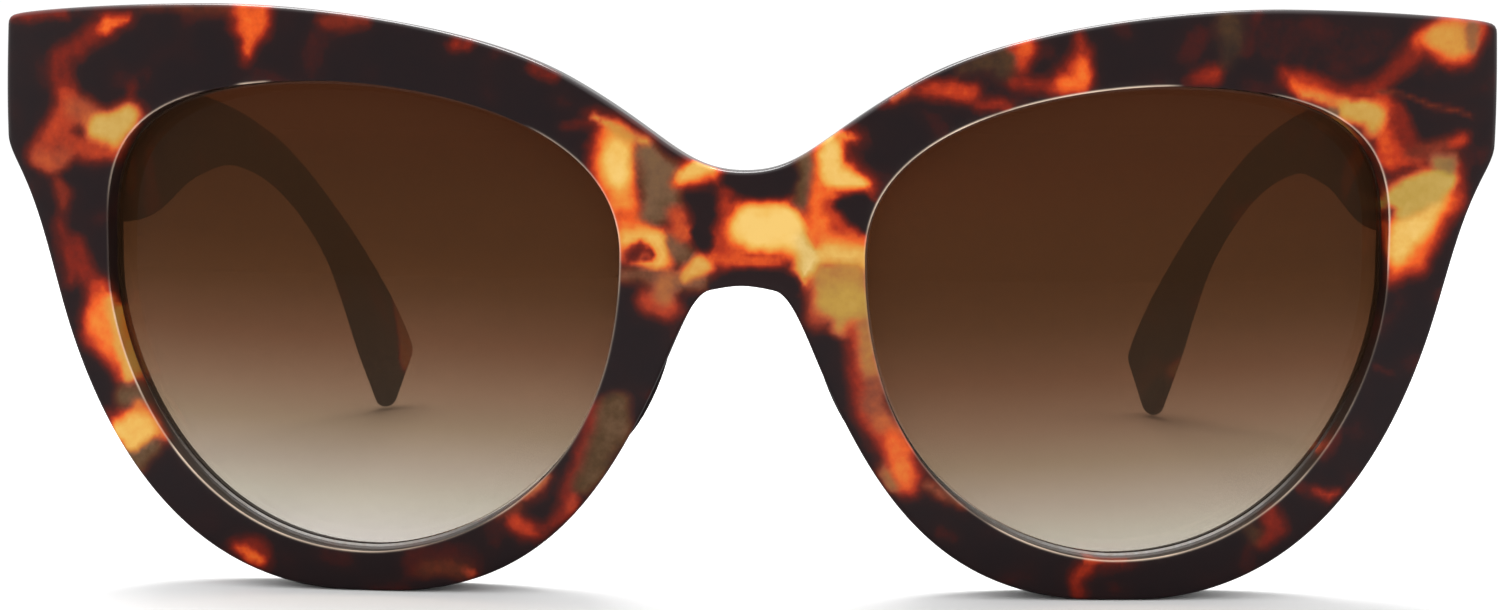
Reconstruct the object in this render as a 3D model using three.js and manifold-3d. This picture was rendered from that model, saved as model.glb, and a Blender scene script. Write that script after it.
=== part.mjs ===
// Cat eye sunglasses: one thick acetate front, two gradient lenses, bonded nose pads and two temples
// on five-barrel hinges. Millimetres, +Z up. The front faces -Y, the temples reach back along +Y,
// and the wearer's left side is at +X. The glasses stand open on their rims and temple tips at Z = 0.
import * as THREE from 'three';
import { mergeVertices } from 'three/addons/utils/BufferGeometryUtils.js';
import Module from 'manifold-3d';

const wasm = await Module();
wasm.setup();

// ---- Driving dimensions ----

const frontHalfWidth = 73;
const frontThickness = 5.4;

// The front's face is a shallow bowl around each eye, wrapped back towards the temples.
const eyeX = 36;
const eyeZ = 26.5;
const wrapSlope = 0.06;
const frontRadius = 220;
const bridgeBlend = 6;
const faceOffset = 0.4;

const lensThickness = 2;
const lensRadius = 130;
const lensInset = 1.7;
const lensBite = 0.6;
const gap = 0.3;

const lugFace = 13;
const lugStart = 8.2;

const templeThickness = { butt: 4.4, ear: 3.1 };
const templeInner = 67.5;
const templeStraight = 70;
const templeCurl = { reach: 80, inward: 15.5, power: 1.7 };
const templeButt = lugFace + gap;
const templeDepth = 138.5;

const hinge = {
  x: 65.7,
  y: 13.2,
  z: 48.5,
  barrelRadius: 1.6,
  barrels: 5,
  barrelHeight: 1.5,
  barrelGap: 0.1,
  boreRadius: 0.8,
  pinRadius: 0.7,
};
const leafThickness = 0.8;
const frontLeaf = { innerX: 62.6, outerX: 66.6, halfHeight: 6.9, screwX: 64.2, screwRise: 5.7 };
const templeLeaf = { endY: 26, screwsY: [18.2, 23.4] };

const screw = { headRadius: 1, headDepth: 0.5, shankRadius: 0.5, length: 2.6, clearance: 0.15 };
const pinHead = { radius: 1.25, height: 0.65 };
const core = { thickness: 1, height: 2.4, startY: 15.5, buttZ: 41.5, end: 0.93 };

// ---- Geometry helpers ----

// A closed geometry becomes a solid that can be joined and cut.
function solid(geometry) {
  const plain = geometry.clone();
  plain.deleteAttribute('normal');
  plain.deleteAttribute('uv');
  const merged = mergeVertices(plain, 1e-5);
  return new wasm.Manifold(new wasm.Mesh({
    numProp: 3,
    vertProperties: merged.attributes.position.array,
    triVerts: new Uint32Array(merged.index.array),
  }));
}

function geometryOf(body) {
  const mesh = body.getMesh();
  const geometry = new THREE.BufferGeometry();
  geometry.setAttribute('position', new THREE.BufferAttribute(mesh.vertProperties, 3));
  geometry.setIndex(new THREE.BufferAttribute(mesh.triVerts, 1));
  geometry.computeVertexNormals();
  return geometry;
}

// The same geometry on the other side of the plane X = 0, with its faces still pointing out.
function mirrored(geometry) {
  const copy = geometry.clone().scale(-1, 1, 1);
  const index = copy.index.array;
  for (let i = 0; i < index.length; i += 3) {
    [index[i], index[i + 1]] = [index[i + 1], index[i]];
  }
  copy.computeVertexNormals();
  return copy;
}

function box(low, high) {
  const size = high.map((value, i) => value - low[i]);
  const middle = high.map((value, i) => (value + low[i]) / 2);
  return solid(new THREE.BoxGeometry(...size).translate(...middle));
}

// A post about a vertical axis.
function post(x, y, lowZ, highZ, radius, sides = 16) {
  const geometry = new THREE.CylinderGeometry(radius, radius, highZ - lowZ, sides);
  return solid(geometry.rotateX(Math.PI / 2).translate(x, y, (lowZ + highZ) / 2));
}

// An outline in the XZ plane, given depth along Y.
function prism(points, lowY, highY) {
  const geometry = new THREE.ExtrudeGeometry(new THREE.Shape(points), {
    depth: highY - lowY,
    bevelEnabled: false,
  });
  return solid(geometry.rotateX(Math.PI / 2).translate(0, highY, 0));
}

// A sheet of even thickness behind a surface y = face(x, z).
function sheet(face, thickness, [lowX, highX, stepsX], [lowZ, highZ, stepsZ]) {
  const geometry = new THREE.BoxGeometry(highX - lowX, thickness, highZ - lowZ, stepsX, 1, stepsZ);
  geometry.translate((lowX + highX) / 2, thickness / 2, (lowZ + highZ) / 2);
  const position = geometry.attributes.position;
  for (let i = 0; i < position.count; i += 1) {
    position.setY(i, position.getY(i) + face(position.getX(i), position.getZ(i)));
  }
  return solid(geometry);
}

// A solid through a row of rings, each with the same number of points.
function loft(rings) {
  const sides = rings[0].length;
  const corners = rings.flat();
  const index = [];
  for (let ring = 0; ring < rings.length - 1; ring += 1) {
    for (let i = 0; i < sides; i += 1) {
      const a = ring * sides + i;
      const b = ring * sides + (i + 1) % sides;
      index.push(a, b, a + sides, b, b + sides, a + sides);
    }
  }
  const last = (rings.length - 1) * sides;
  for (let i = 1; i < sides - 1; i += 1) {
    index.push(0, i + 1, i);
    index.push(last, last + i, last + i + 1);
  }
  const geometry = new THREE.BufferGeometry();
  geometry.setAttribute('position', new THREE.Float32BufferAttribute(corners.flat(), 3));
  geometry.setIndex(index);
  return geometry;
}

// ---- The surfaces of the front and of the lenses ----

function bowl(x, z, radius) {
  const across = Math.hypot(x, bridgeBlend) - eyeX;
  return wrapSlope * across + (across ** 2 + (z - eyeZ) ** 2) / (2 * radius);
}

function frontFace(x, z) {
  return bowl(x, z, frontRadius) + faceOffset;
}

function lensFace(x, z) {
  return bowl(x, z, lensRadius) + faceOffset + lensInset;
}

// ---- Outlines, for the side at +X ----

// From the top of the bridge, along the brow and down the side, to the top of the nose notch.
function halfOutline() {
  const path = new THREE.Path();
  path.moveTo(0, 41.4);
  path.bezierCurveTo(5.9, 41.4, 7.4, 45, 16.7, 50.2);
  path.bezierCurveTo(26.5, 55.7, 44, 57.2, 52, 57.2);
  path.bezierCurveTo(62.7, 57.2, 71.2, 56.5, 72.1, 56.2);
  path.bezierCurveTo(72.7, 56.1, frontHalfWidth, 55.8, frontHalfWidth, 55.2);
  path.bezierCurveTo(frontHalfWidth, 52, frontHalfWidth, 47.6, 72.8, 44.2);
  path.bezierCurveTo(72.7, 43, 71.7, 41.5, 71.2, 40.4);
  path.bezierCurveTo(69, 36, 68.1, 31.2, 66.5, 26);
  path.bezierCurveTo(62, 11.7, 53.4, 0, 38, 0);
  path.lineTo(35, 0);
  path.bezierCurveTo(19.1, 0, 12.5, 10.7, 6.7, 24.5);
  path.bezierCurveTo(5.2, 28, 4.2, 29.8, 3, 30);
  path.bezierCurveTo(2, 30.2, 1, 30.4, 0, 30.4);
  return path.getPoints(9);
}

function frontOutline() {
  const right = halfOutline();
  const left = right.slice(1, -1).map((point) => new THREE.Vector2(-point.x, point.y));
  return [...right, ...left.reverse()];
}

// The opening that the lens shows through, grown outwards by a margin.
function lensOutline(margin) {
  const path = new THREE.Path();
  path.moveTo(41.1, 49.9);
  path.bezierCurveTo(64.3, 49.9, 62.2, 40.2, 62.2, 32);
  path.bezierCurveTo(62.2, 22.4, 54.8, 3.9, 36.2, 3.9);
  path.bezierCurveTo(30.4, 3.9, 11.6, 7.9, 11.6, 33.3);
  path.bezierCurveTo(11.6, 47.7, 34.4, 49.9, 41.1, 49.9);
  const points = path.getPoints(14).slice(0, -1);
  return points.map((point, i) => {
    const before = points.at(i - 1);
    const after = points[(i + 1) % points.length];
    const along = after.clone().sub(before).normalize();
    return point.clone().add(new THREE.Vector2(-along.y, along.x).multiplyScalar(margin));
  });
}

// ---- Front frame ----

function frontFrame() {
  const acrossFront = [-75, 75, 50];
  const upFront = [-1, 59, 10];
  const outline = prism(frontOutline(), -5, 20);
  let body = sheet(frontFace, frontThickness, acrossFront, upFront);

  // A lug behind each upper corner carries the hinge and meets the temple's butt.
  const lug = [[61, 58], [74, 58], [74, 38], [69, 34.5], [64.5, 36.5], [61, 43]];
  const lugShape = lug.map(([x, z]) => new THREE.Vector2(x, z));
  const lugs = prism(lugShape, lugStart, lugFace);
  body = body.add(lugs).add(solid(mirrored(geometryOf(lugs))));
  body = body.intersect(outline);

  for (const cut of sideCuts()) {
    body = body.subtract(cut).subtract(solid(mirrored(geometryOf(cut))));
  }
  return geometryOf(body);
}

// Everything removed from the front on its +X side.
function sideCuts() {
  const opening = prism(lensOutline(0), -5, 20);
  const groove = sheet((x, z) => lensFace(x, z) - gap, lensThickness + 2 * gap, [8, 66, 15], [0, 54, 12])
    .intersect(prism(lensOutline(lensBite + gap), -5, 20));
  const milledFlat = box([66, lugFace, 33], [75, 18, 60]);
  const pocket = box(
    [frontLeaf.innerX - gap, lugFace - leafThickness - gap, hinge.z - frontLeaf.halfHeight - gap],
    [frontLeaf.outerX + gap, lugFace + 1, hinge.z + frontLeaf.halfHeight + gap],
  );
  const [lowZ, highZ] = barrelSpan(0, hinge.barrels - 1);
  const reliefTop = highZ + pinHead.height + gap;
  const barrelRelief = post(hinge.x, hinge.y, lowZ - gap, reliefTop, hinge.barrelRadius + gap);
  const pilots = [-1, 1].map((up) => screwHole(screw.length + gap)
    .translate(frontLeaf.screwX, lugFace, hinge.z + up * frontLeaf.screwRise));
  return [opening, groove, milledFlat, pocket, barrelRelief, ...pilots];
}

// ---- Lenses ----

function lens() {
  const glass = sheet(lensFace, lensThickness, [8, 66, 12], [0, 54, 10]);
  return geometryOf(glass.intersect(prism(lensOutline(lensBite), -5, 20)));
}

// ---- Nose pads ----

// A rounded acetate pad behind the inner rim, leaning outwards as it goes back.
function nosePad() {
  const middle = new THREE.Vector2(10, 20.5);
  const lean = 0.4;
  const stages = [
    { back: 0, half: [6.6, 1.7] },
    { back: 2, half: [6.4, 1.6] },
    { back: 4, half: [5.8, 1.5] },
    { back: 5.5, half: [4.7, 1.3] },
    { back: 6.4, half: [2.6, 0.7] },
  ];
  const sides = 14;
  const start = frontFace(middle.x, middle.y) + frontThickness + gap;
  const rings = stages.map(({ back, half }) => Array.from({ length: sides }, (_, i) => {
    const angle = (2 * Math.PI * i) / sides;
    const along = half[0] * Math.cos(angle);
    const across = half[1] * Math.sin(angle);
    const x = middle.x - along * Math.sin(lean) + across * Math.cos(lean) + 0.28 * back;
    const z = middle.y + along * Math.cos(lean) + across * Math.sin(lean);
    return [x, start + back, z];
  }));
  return loft(rings);
}

// ---- Temples ----

// The inner face of a temple, straight and then curling in behind the ear.
function templeFace(y) {
  const curl = Math.max(0, y - templeStraight) / templeCurl.reach;
  return templeInner - templeCurl.inward * curl ** templeCurl.power;
}

// The temple's lower and upper edges in side view, paired from the butt to the slanted tip.
const templeEdges = [
  [[templeButt, 35.3], [templeButt, 54.8]],
  [[26, 34.6], [27, 53.6]],
  [[40, 34.6], [42, 51.4]],
  [[56, 37.9], [58, 48.9]],
  [[74, 39.3], [76, 46.8]],
  [[87, 38], [90.5, 43.4]],
  [[97.5, 34.9], [101.5, 38.9]],
  [[106.5, 30.2], [111.5, 33.2]],
  [[114.3, 24], [121, 26.6]],
  [[119.8, 16.8], [130, 19]],
  [[124.6, 9.3], [136, 12.6]],
  [[131.3, 0], [templeDepth, 9]],
];
const lowerEdge = new THREE.SplineCurve(templeEdges.map(([low]) => new THREE.Vector2(...low)));
const upperEdge = new THREE.SplineCurve(templeEdges.map(([, high]) => new THREE.Vector2(...high)));

function templeThicknessAt(y) {
  const slim = THREE.MathUtils.smoothstep(y, 20, 80);
  return THREE.MathUtils.lerp(templeThickness.butt, templeThickness.ear, slim);
}

// A rounded rectangle's corner points, as offsets from its middle.
function roundedRing(halfHeight, halfThickness, radius) {
  const ring = [];
  for (let corner = 0; corner < 4; corner += 1) {
    const signA = corner === 0 || corner === 3 ? 1 : -1;
    const signB = corner < 2 ? 1 : -1;
    for (let i = 0; i < 3; i += 1) {
      const angle = (corner * Math.PI) / 2 + (i * Math.PI) / 4;
      const along = signA * (halfHeight - radius) + radius * Math.cos(angle);
      const across = signB * (halfThickness - radius) + radius * Math.sin(angle);
      ring.push([along, across]);
    }
  }
  return ring;
}

// A ring across the temple at t, from 0 at the butt to 1 at the tip.
function templeRing(t) {
  const low = lowerEdge.getPoint(t);
  const high = upperEdge.getPoint(t);
  const middle = low.clone().add(high).divideScalar(2);
  const rise = high.clone().sub(low);
  const half = rise.length() / 2;
  rise.normalize();
  const thickness = templeThicknessAt(middle.x);
  return roundedRing(half, thickness / 2, 1.1).map(([along, across]) => {
    const y = middle.x + along * rise.x;
    const z = middle.y + along * rise.y;
    return [templeFace(y) + thickness / 2 + across, y, z];
  });
}

// The core wire's line: below the hinge at the butt, then along the middle of the temple.
function coreRing(t, extra) {
  const low = lowerEdge.getPoint(t);
  const high = upperEdge.getPoint(t);
  const middle = low.clone().add(high).divideScalar(2);
  const rise = high.clone().sub(low).normalize();
  const settle = THREE.MathUtils.smoothstep(middle.x, 26, 60);
  middle.y = THREE.MathUtils.lerp(core.buttZ, middle.y, settle);
  const thickness = templeThicknessAt(middle.x);
  const halfHeight = core.height / 2 + extra;
  const halfThickness = core.thickness / 2 + extra;
  const square = [[1, 1], [-1, 1], [-1, -1], [1, -1]];
  return square.map(([up, out]) => {
    const y = middle.x + up * halfHeight * rise.x;
    const z = middle.y + up * halfHeight * rise.y;
    return [templeFace(y) + thickness / 2 + out * halfThickness, y, z];
  });
}

function steps(from, to, count) {
  return Array.from({ length: count + 1 }, (_, i) => from + ((to - from) * i) / count);
}

const coreStart = (core.startY - templeButt) / (26.5 - templeButt) / (templeEdges.length - 1);

function temple() {
  const outside = solid(loft(steps(0, 1, 30).map(templeRing)));
  const bore = solid(loft(steps(-0.004, core.end + 0.004, 26).map((t) => coreRing(Math.max(t, 0), gap))));
  const [lowZ, highZ] = barrelSpan(0, hinge.barrels - 1);
  const recess = box(
    [templeInner - 1, templeButt - 1, lowZ - gap],
    [templeInner + leafThickness + gap, templeLeaf.endY + gap, highZ + gap],
  );
  let body = outside.subtract(bore).subtract(recess);
  for (const y of templeLeaf.screwsY) {
    const pilot = screwHole(screw.length + gap).rotate([0, 0, 90]).translate(templeInner, y, hinge.z);
    body = body.subtract(pilot);
  }
  return geometryOf(body);
}

function templeCore() {
  return loft(steps(coreStart, core.end, 24).map((t) => coreRing(t, 0)));
}

// ---- Hinges ----

// The height range from one barrel to another, counted from the bottom.
function barrelSpan(first, last) {
  const pitch = hinge.barrelHeight + hinge.barrelGap;
  const bottom = hinge.z - (hinge.barrels * pitch - hinge.barrelGap) / 2;
  return [bottom + first * pitch, bottom + last * pitch + hinge.barrelHeight];
}

function barrel(number, radius, extra = 0) {
  const [lowZ, highZ] = barrelSpan(number, number);
  return post(hinge.x, hinge.y, lowZ - extra, highZ + extra, radius);
}

function pinBore() {
  return post(hinge.x, hinge.y, hinge.z - 10, hinge.z + 10, hinge.boreRadius);
}

function frontLeafGeometry() {
  let body = box(
    [frontLeaf.innerX, lugFace - leafThickness, hinge.z - frontLeaf.halfHeight],
    [frontLeaf.outerX, lugFace, hinge.z + frontLeaf.halfHeight],
  );
  for (const number of [1, 3]) {
    body = body.subtract(barrel(number, hinge.barrelRadius + 0.2, hinge.barrelGap));
  }
  for (const number of [0, 2, 4]) {
    body = body.add(barrel(number, hinge.barrelRadius));
  }
  const [, topZ] = barrelSpan(0, hinge.barrels - 1);
  const headRoom = post(hinge.x, hinge.y, topZ, topZ + pinHead.height + gap, pinHead.radius + gap);
  body = body.subtract(pinBore()).subtract(headRoom);
  for (const up of [-1, 1]) {
    const hole = screwHole(screw.length).translate(frontLeaf.screwX, lugFace, hinge.z + up * frontLeaf.screwRise);
    body = body.subtract(hole);
  }
  return geometryOf(body);
}

function templeLeafGeometry() {
  const [lowZ, highZ] = barrelSpan(0, hinge.barrels - 1);
  const plateStart = templeButt + gap;
  let body = box(
    [templeInner, plateStart, lowZ],
    [templeInner + leafThickness, templeLeaf.endY, highZ],
  );
  for (const number of [1, 3]) {
    const [low, high] = barrelSpan(number, number);
    const web = box([hinge.x, plateStart, low], [templeInner + leafThickness / 2, plateStart + 1.2, high]);
    body = body.add(barrel(number, hinge.barrelRadius)).add(web);
  }
  body = body.subtract(pinBore());
  for (const y of templeLeaf.screwsY) {
    const hole = screwHole(screw.length).rotate([0, 0, 90]).translate(templeInner, y, hinge.z);
    body = body.subtract(hole);
  }
  return geometryOf(body);
}

// ---- Screws ----

// A turned body about +Y, from a profile of radius and height pairs.
function turned(profile, sides = 12) {
  return new THREE.LatheGeometry(profile.map(([radius, height]) => new THREE.Vector2(radius, height)), sides);
}

// A countersunk screw with its head at Y = 0 and its shank towards -Y.
function fixingScrew() {
  const { headRadius, headDepth, shankRadius, length } = screw;
  const blank = turned([
    [0, -length],
    [shankRadius * 0.6, -length],
    [shankRadius, -length + 0.4],
    [shankRadius, -headDepth],
    [headRadius, 0],
    [0, 0],
  ]);
  const slots = [[1.3, 0.24], [0.24, 1.3]].map(([sizeX, sizeZ]) => box(
    [-sizeX / 2, -0.3, -sizeZ / 2],
    [sizeX / 2, 1, sizeZ / 2],
  ));
  return geometryOf(solid(blank).subtract(slots[0]).subtract(slots[1]));
}

// The room that a fixing screw needs, opening towards +Y.
function screwHole(depth) {
  const { headRadius, headDepth, shankRadius, clearance } = screw;
  return solid(turned([
    [0, -depth],
    [shankRadius + clearance, -depth],
    [shankRadius + clearance, -headDepth],
    [headRadius + clearance, 0],
    [headRadius + clearance, 1],
    [0, 1],
  ]));
}

// The hinge screw, with its slotted head at the top and its shank through the barrels.
function hingeScrew() {
  const [lowZ, highZ] = barrelSpan(0, hinge.barrels - 1);
  const blank = turned([
    [0, lowZ - highZ],
    [hinge.pinRadius, lowZ - highZ],
    [hinge.pinRadius, 0.05],
    [pinHead.radius, 0.05],
    [pinHead.radius, pinHead.height - 0.25],
    [pinHead.radius - 0.25, pinHead.height],
    [0, pinHead.height],
  ], 16);
  return geometryOf(solid(blank).subtract(box([-2, 0.4, -0.15], [2, 2, 0.15])));
}

// ---- Materials ----

function material(color, roughness, metalness = 0) {
  return new THREE.MeshStandardMaterial({ color, roughness, metalness });
}

const finishes = {
  tortoise: () => material(0x5a2a12, 0.15),
  lens: () => material(0x4b2a1c, 0.05),
  steel: () => material(0xb8b6b2, 0.3, 1),
  brass: () => material(0xc9b58a, 0.35, 1),
};

// ---- Assembly ----

const glasses = new THREE.Group();
glasses.position.y = -templeDepth / 2;

function place(name, geometry, finish) {
  const mesh = new THREE.Mesh(geometry, finishes[finish]());
  mesh.name = name;
  glasses.add(mesh);
  return mesh;
}

place('front_frame', frontFrame(), 'tortoise');

const sidePieces = {
  lens: [lens(), 'lens'],
  nose_pad: [nosePad(), 'tortoise'],
  temple: [temple(), 'tortoise'],
  temple_core: [templeCore(), 'steel'],
  hinge_front_leaf: [frontLeafGeometry(), 'brass'],
  hinge_temple_leaf: [templeLeafGeometry(), 'brass'],
};

for (const [side, sign] of [['left', 1], ['right', -1]]) {
  for (const [name, [geometry, finish]] of Object.entries(sidePieces)) {
    place(`${name}_${side}`, sign > 0 ? geometry : mirrored(geometry), finish);
  }

  const pin = place(`hinge_screw_${side}`, hingeScrew(), 'steel');
  pin.position.set(sign * hinge.x, hinge.y, barrelSpan(0, hinge.barrels - 1)[1]);
  pin.rotation.x = Math.PI / 2;

  for (const [level, up] of [['lower', -1], ['upper', 1]]) {
    const fixing = place(`front_leaf_screw_${level}_${side}`, fixingScrew(), 'steel');
    fixing.position.set(sign * frontLeaf.screwX, lugFace, hinge.z + up * frontLeaf.screwRise);
  }

  for (const [i, level] of ['near', 'far'].entries()) {
    const fixing = place(`temple_leaf_screw_${level}_${side}`, fixingScrew(), 'steel');
    fixing.position.set(sign * templeInner, templeLeaf.screwsY[i], hinge.z);
    fixing.rotation.z = (sign * Math.PI) / 2;
  }
}

export default glasses;
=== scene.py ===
"""Cat eye sunglasses in tortoise acetate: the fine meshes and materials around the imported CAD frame.

Shapes are worked out in millimetres, as in the CAD: x across (the wearer's left is +), y back from the
front's face, z up from the table. place() turns them into metres in the row frame.
"""

import itertools
import math
import random

import bmesh
import bpy
import numpy as np
from mathutils import Matrix, Vector, kdtree, noise
from mathutils.geometry import delaunay_2d_cdt

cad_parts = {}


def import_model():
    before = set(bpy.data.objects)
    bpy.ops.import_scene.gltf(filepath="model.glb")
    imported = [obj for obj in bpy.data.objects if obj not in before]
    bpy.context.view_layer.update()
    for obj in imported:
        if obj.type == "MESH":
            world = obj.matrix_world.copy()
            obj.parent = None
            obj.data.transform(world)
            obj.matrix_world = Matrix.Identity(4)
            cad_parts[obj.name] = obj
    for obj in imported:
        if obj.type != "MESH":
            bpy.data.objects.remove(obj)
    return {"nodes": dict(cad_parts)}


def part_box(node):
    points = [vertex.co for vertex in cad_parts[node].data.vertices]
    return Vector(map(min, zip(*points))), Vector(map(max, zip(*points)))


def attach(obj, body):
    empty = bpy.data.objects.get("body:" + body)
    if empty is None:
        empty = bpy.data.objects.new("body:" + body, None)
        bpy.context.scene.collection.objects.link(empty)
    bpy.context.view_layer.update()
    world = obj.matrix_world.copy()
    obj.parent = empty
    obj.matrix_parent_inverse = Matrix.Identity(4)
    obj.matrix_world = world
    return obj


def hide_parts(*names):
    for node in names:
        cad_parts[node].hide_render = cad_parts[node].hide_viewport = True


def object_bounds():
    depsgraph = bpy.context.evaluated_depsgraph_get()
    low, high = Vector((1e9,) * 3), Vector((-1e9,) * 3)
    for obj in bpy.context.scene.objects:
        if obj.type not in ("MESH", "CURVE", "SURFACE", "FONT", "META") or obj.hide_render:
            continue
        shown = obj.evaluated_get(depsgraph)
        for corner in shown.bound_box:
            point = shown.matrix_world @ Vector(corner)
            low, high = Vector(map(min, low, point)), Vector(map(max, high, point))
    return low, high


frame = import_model()
cad_low, cad_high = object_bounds()

MM = 0.001
SIDES = {"left": 1, "right": -1}

# ---- Sizes, in millimetres ----

TEMPLE_DEPTH = 138.5
FRONT_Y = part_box("temple_left")[1].y - TEMPLE_DEPTH * MM
HALF_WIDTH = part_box("front_frame")[1].x / MM
FRONT_THICKNESS = 5.4

EYE_X, EYE_Z = 36, 26.5
WRAP_SLOPE = 0.06
FRONT_RADIUS = 220
BRIDGE_BLEND = 6
FACE_OFFSET = 0.4

LENS_RADIUS = 130
LENS_INSET = 1.7
LENS_THICKNESS = 2
LENS_BITE = 0.6
LENS_BEVEL = 0.35
RIM_LAP = 0.14
OUTLINE_STEP, LENS_STEP = 0.4, 0.6

PAD_X, PAD_Z = 10, 20.5
PAD_HALF_LENGTH, PAD_HALF_WIDTH, PAD_REACH = 6.6, 1.7, 6.4
PAD_LEAN, PAD_SPLAY = 0.4, 0.26
PAD_OVERLAP = 0.4
PAD_TIP_SHARE = 0.12

LUG_FACE = 13
TEMPLE_BUTT = 13.3
TEMPLE_INNER = 67.5
TEMPLE_STRAIGHT = 70
CURL_REACH, CURL_INWARD, CURL_POWER = 80, 15.5, 1.7
BUTT_THICKNESS, EAR_THICKNESS = 4.4, 3.1
TAPER_Y = (20, 80)
TEMPLE_EDGE_RADIUS = 1.35

HINGE_X, HINGE_Y, HINGE_Z = 65.7, 13.2, 48.5
BARREL_RADIUS, BARREL_HEIGHT, BARREL_GAP = 1.6, 1.5, 0.1
BARREL_EDGE, BARREL_ROOM = 0.1, 0.2
PIN_RADIUS, BORE_RADIUS = 0.7, 0.8
HEAD_RADIUS, HEAD_ROOM = 1.25, 0.95
LEAF_THICKNESS, LEAF_BEVEL = 0.8, 0.12
FRONT_LEAF_X = (62.6, 66.6)
FRONT_LEAF_HALF = 6.9
FRONT_SCREW_X, FRONT_SCREW_RISE = 64.2, 5.7
TEMPLE_LEAF_Y = (13.6, 26)
WEB_DEPTH, WEB_INSET = 1.2, 0.02
TEMPLE_SCREWS_Y = (18.2, 23.4)
POCKET_GAP = 0.3


# ---- Small helpers ----

def place(points):
    """Millimetre points to metres in the row frame."""
    scaled = np.asarray(points, dtype=float) * MM
    scaled[..., 1] += FRONT_Y
    return scaled


def vertex_points(obj):
    """An object's vertices in millimetres, as x, y and z arrays: place() turned round."""
    coords = np.empty(len(obj.data.vertices) * 3)
    obj.data.vertices.foreach_get("co", coords)
    coords = coords.reshape(-1, 3)
    coords[:, 1] -= FRONT_Y
    return (coords / MM).T


def smooth(value, low, high):
    t = np.clip((np.asarray(value, dtype=float) - low) / (high - low), 0, 1)
    return t * t * (3 - 2 * t)


def add_object(name, data):
    obj = bpy.data.objects.new(name, data)
    bpy.context.scene.collection.objects.link(obj)
    return obj


def make_object(name, points, faces, bevel=0.0):
    """A mesh object from millimetre points, with its faces turned outwards and its edges rounded."""
    data = bpy.data.meshes.new(name)
    data.from_pydata(place(points).tolist(), [], [list(face) for face in faces])
    mesh = bmesh.new()
    mesh.from_mesh(data)
    bmesh.ops.remove_doubles(mesh, verts=mesh.verts, dist=2e-6)
    bmesh.ops.dissolve_degenerate(mesh, edges=mesh.edges, dist=1e-7)
    bmesh.ops.recalc_face_normals(mesh, faces=mesh.faces)
    if bevel:
        bmesh.ops.bevel(mesh, geom=mesh.edges, offset=bevel * MM, segments=3, affect="EDGES", profile=0.5)
    mesh.to_mesh(data)
    mesh.free()
    return add_object(name, data)


def mirror_points(points, sign):
    points = np.array(points, dtype=float)
    points[..., 0] *= sign
    return points


def combine(obj, others, operation):
    """Joins others to obj or cuts them from it, and removes them."""
    for other in others:
        modifier = obj.modifiers.new("cut", "BOOLEAN")
        modifier.operation = operation
        modifier.solver = "EXACT"
        modifier.object = other
    graph = bpy.context.evaluated_depsgraph_get()
    result = bpy.data.meshes.new_from_object(obj.evaluated_get(graph))
    obj.modifiers.clear()
    old = obj.data
    obj.data = result
    bpy.data.meshes.remove(old)
    for other in others:
        bpy.data.objects.remove(other, do_unlink=True)


def rings_to_faces(count, sides, closed_ends=True):
    """Faces through rows of points, count rings of the same number of sides."""
    faces = []
    for a in range(0, (count - 1) * sides, sides):
        b = a + sides
        for i in range(sides):
            j = (i + 1) % sides
            faces.append((a + i, a + j, b + j, b + i))
    if closed_ends:
        faces.append(tuple(range(sides)))
        faces.append(tuple(range((count - 1) * sides, count * sides)))
    return faces


# A box's faces, when its corners are counted with x changing slowest and z fastest.
BOX_FACES = [(0, 1, 3, 2), (4, 6, 7, 5), (0, 4, 5, 1), (2, 3, 7, 6), (0, 2, 6, 4), (1, 5, 7, 3)]


def block(low, high, sign=1, bevel=0.0):
    """A box between two corners in millimetres."""
    corners = list(itertools.product(*zip(low, high)))
    return make_object("block", mirror_points(corners, sign), BOX_FACES, bevel)


def turned(profile, centre, axis, sides=40):
    """A turned body: profile rows of (radius, height) along the axis from the centre, in millimetres."""
    axis = Vector(axis).normalized()
    across = axis.orthogonal().normalized()
    other = axis.cross(across)
    points = []
    for radius, height in profile:
        for i in range(sides):
            angle = 2 * math.pi * i / sides
            reach = across * math.cos(angle) * radius + other * math.sin(angle) * radius
            points.append(tuple(Vector(centre) + axis * height + reach))
    return make_object("turned", points, rings_to_faces(len(profile), sides))


def nearest_among(points):
    """A function for the distance from a place to the nearest of some points, all given as (x, z)."""
    tree = kdtree.KDTree(len(points))
    for i, (x, z) in enumerate(points):
        tree.insert(Vector((x, z, 0)), i)
    tree.balance()
    return lambda x, z: tree.find(Vector((x, z, 0)))[2]


# ---- Outlines and surfaces ----

def bezier_chain(start, curves, samples=60):
    """Points along joined cubic curves, each given by two handles and an end."""
    points = [np.array(start, dtype=float)]
    for handle_a, handle_b, end in curves:
        a, b, c, d = points[-1], np.array(handle_a), np.array(handle_b), np.array(end)
        for t in np.linspace(0, 1, samples + 1)[1:]:
            u = 1 - t
            points.append(u**3 * a + 3 * u * u * t * b + 3 * u * t * t * c + t**3 * d)
    return np.array(points)


def even_loop(points, spacing):
    """A closed loop's points, spread evenly and turning anticlockwise."""
    loop = np.vstack([points, points[:1]])
    steps = np.linalg.norm(np.diff(loop, axis=0), axis=1)
    length = np.concatenate([[0], np.cumsum(steps)])
    count = int(round(length[-1] / spacing))
    targets = np.linspace(0, length[-1], count, endpoint=False)
    even = np.stack([np.interp(targets, length, loop[:, k]) for k in range(2)], axis=1)
    x, z = even.T
    area = np.sum(x * np.roll(z, -1) - np.roll(x, -1) * z)
    return even if area > 0 else even[::-1]


def outward(loop):
    along = np.roll(loop, -1, axis=0) - np.roll(loop, 1, axis=0)
    normal = np.stack([along[:, 1], -along[:, 0]], axis=1)
    return normal / np.linalg.norm(normal, axis=1, keepdims=True)


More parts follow.
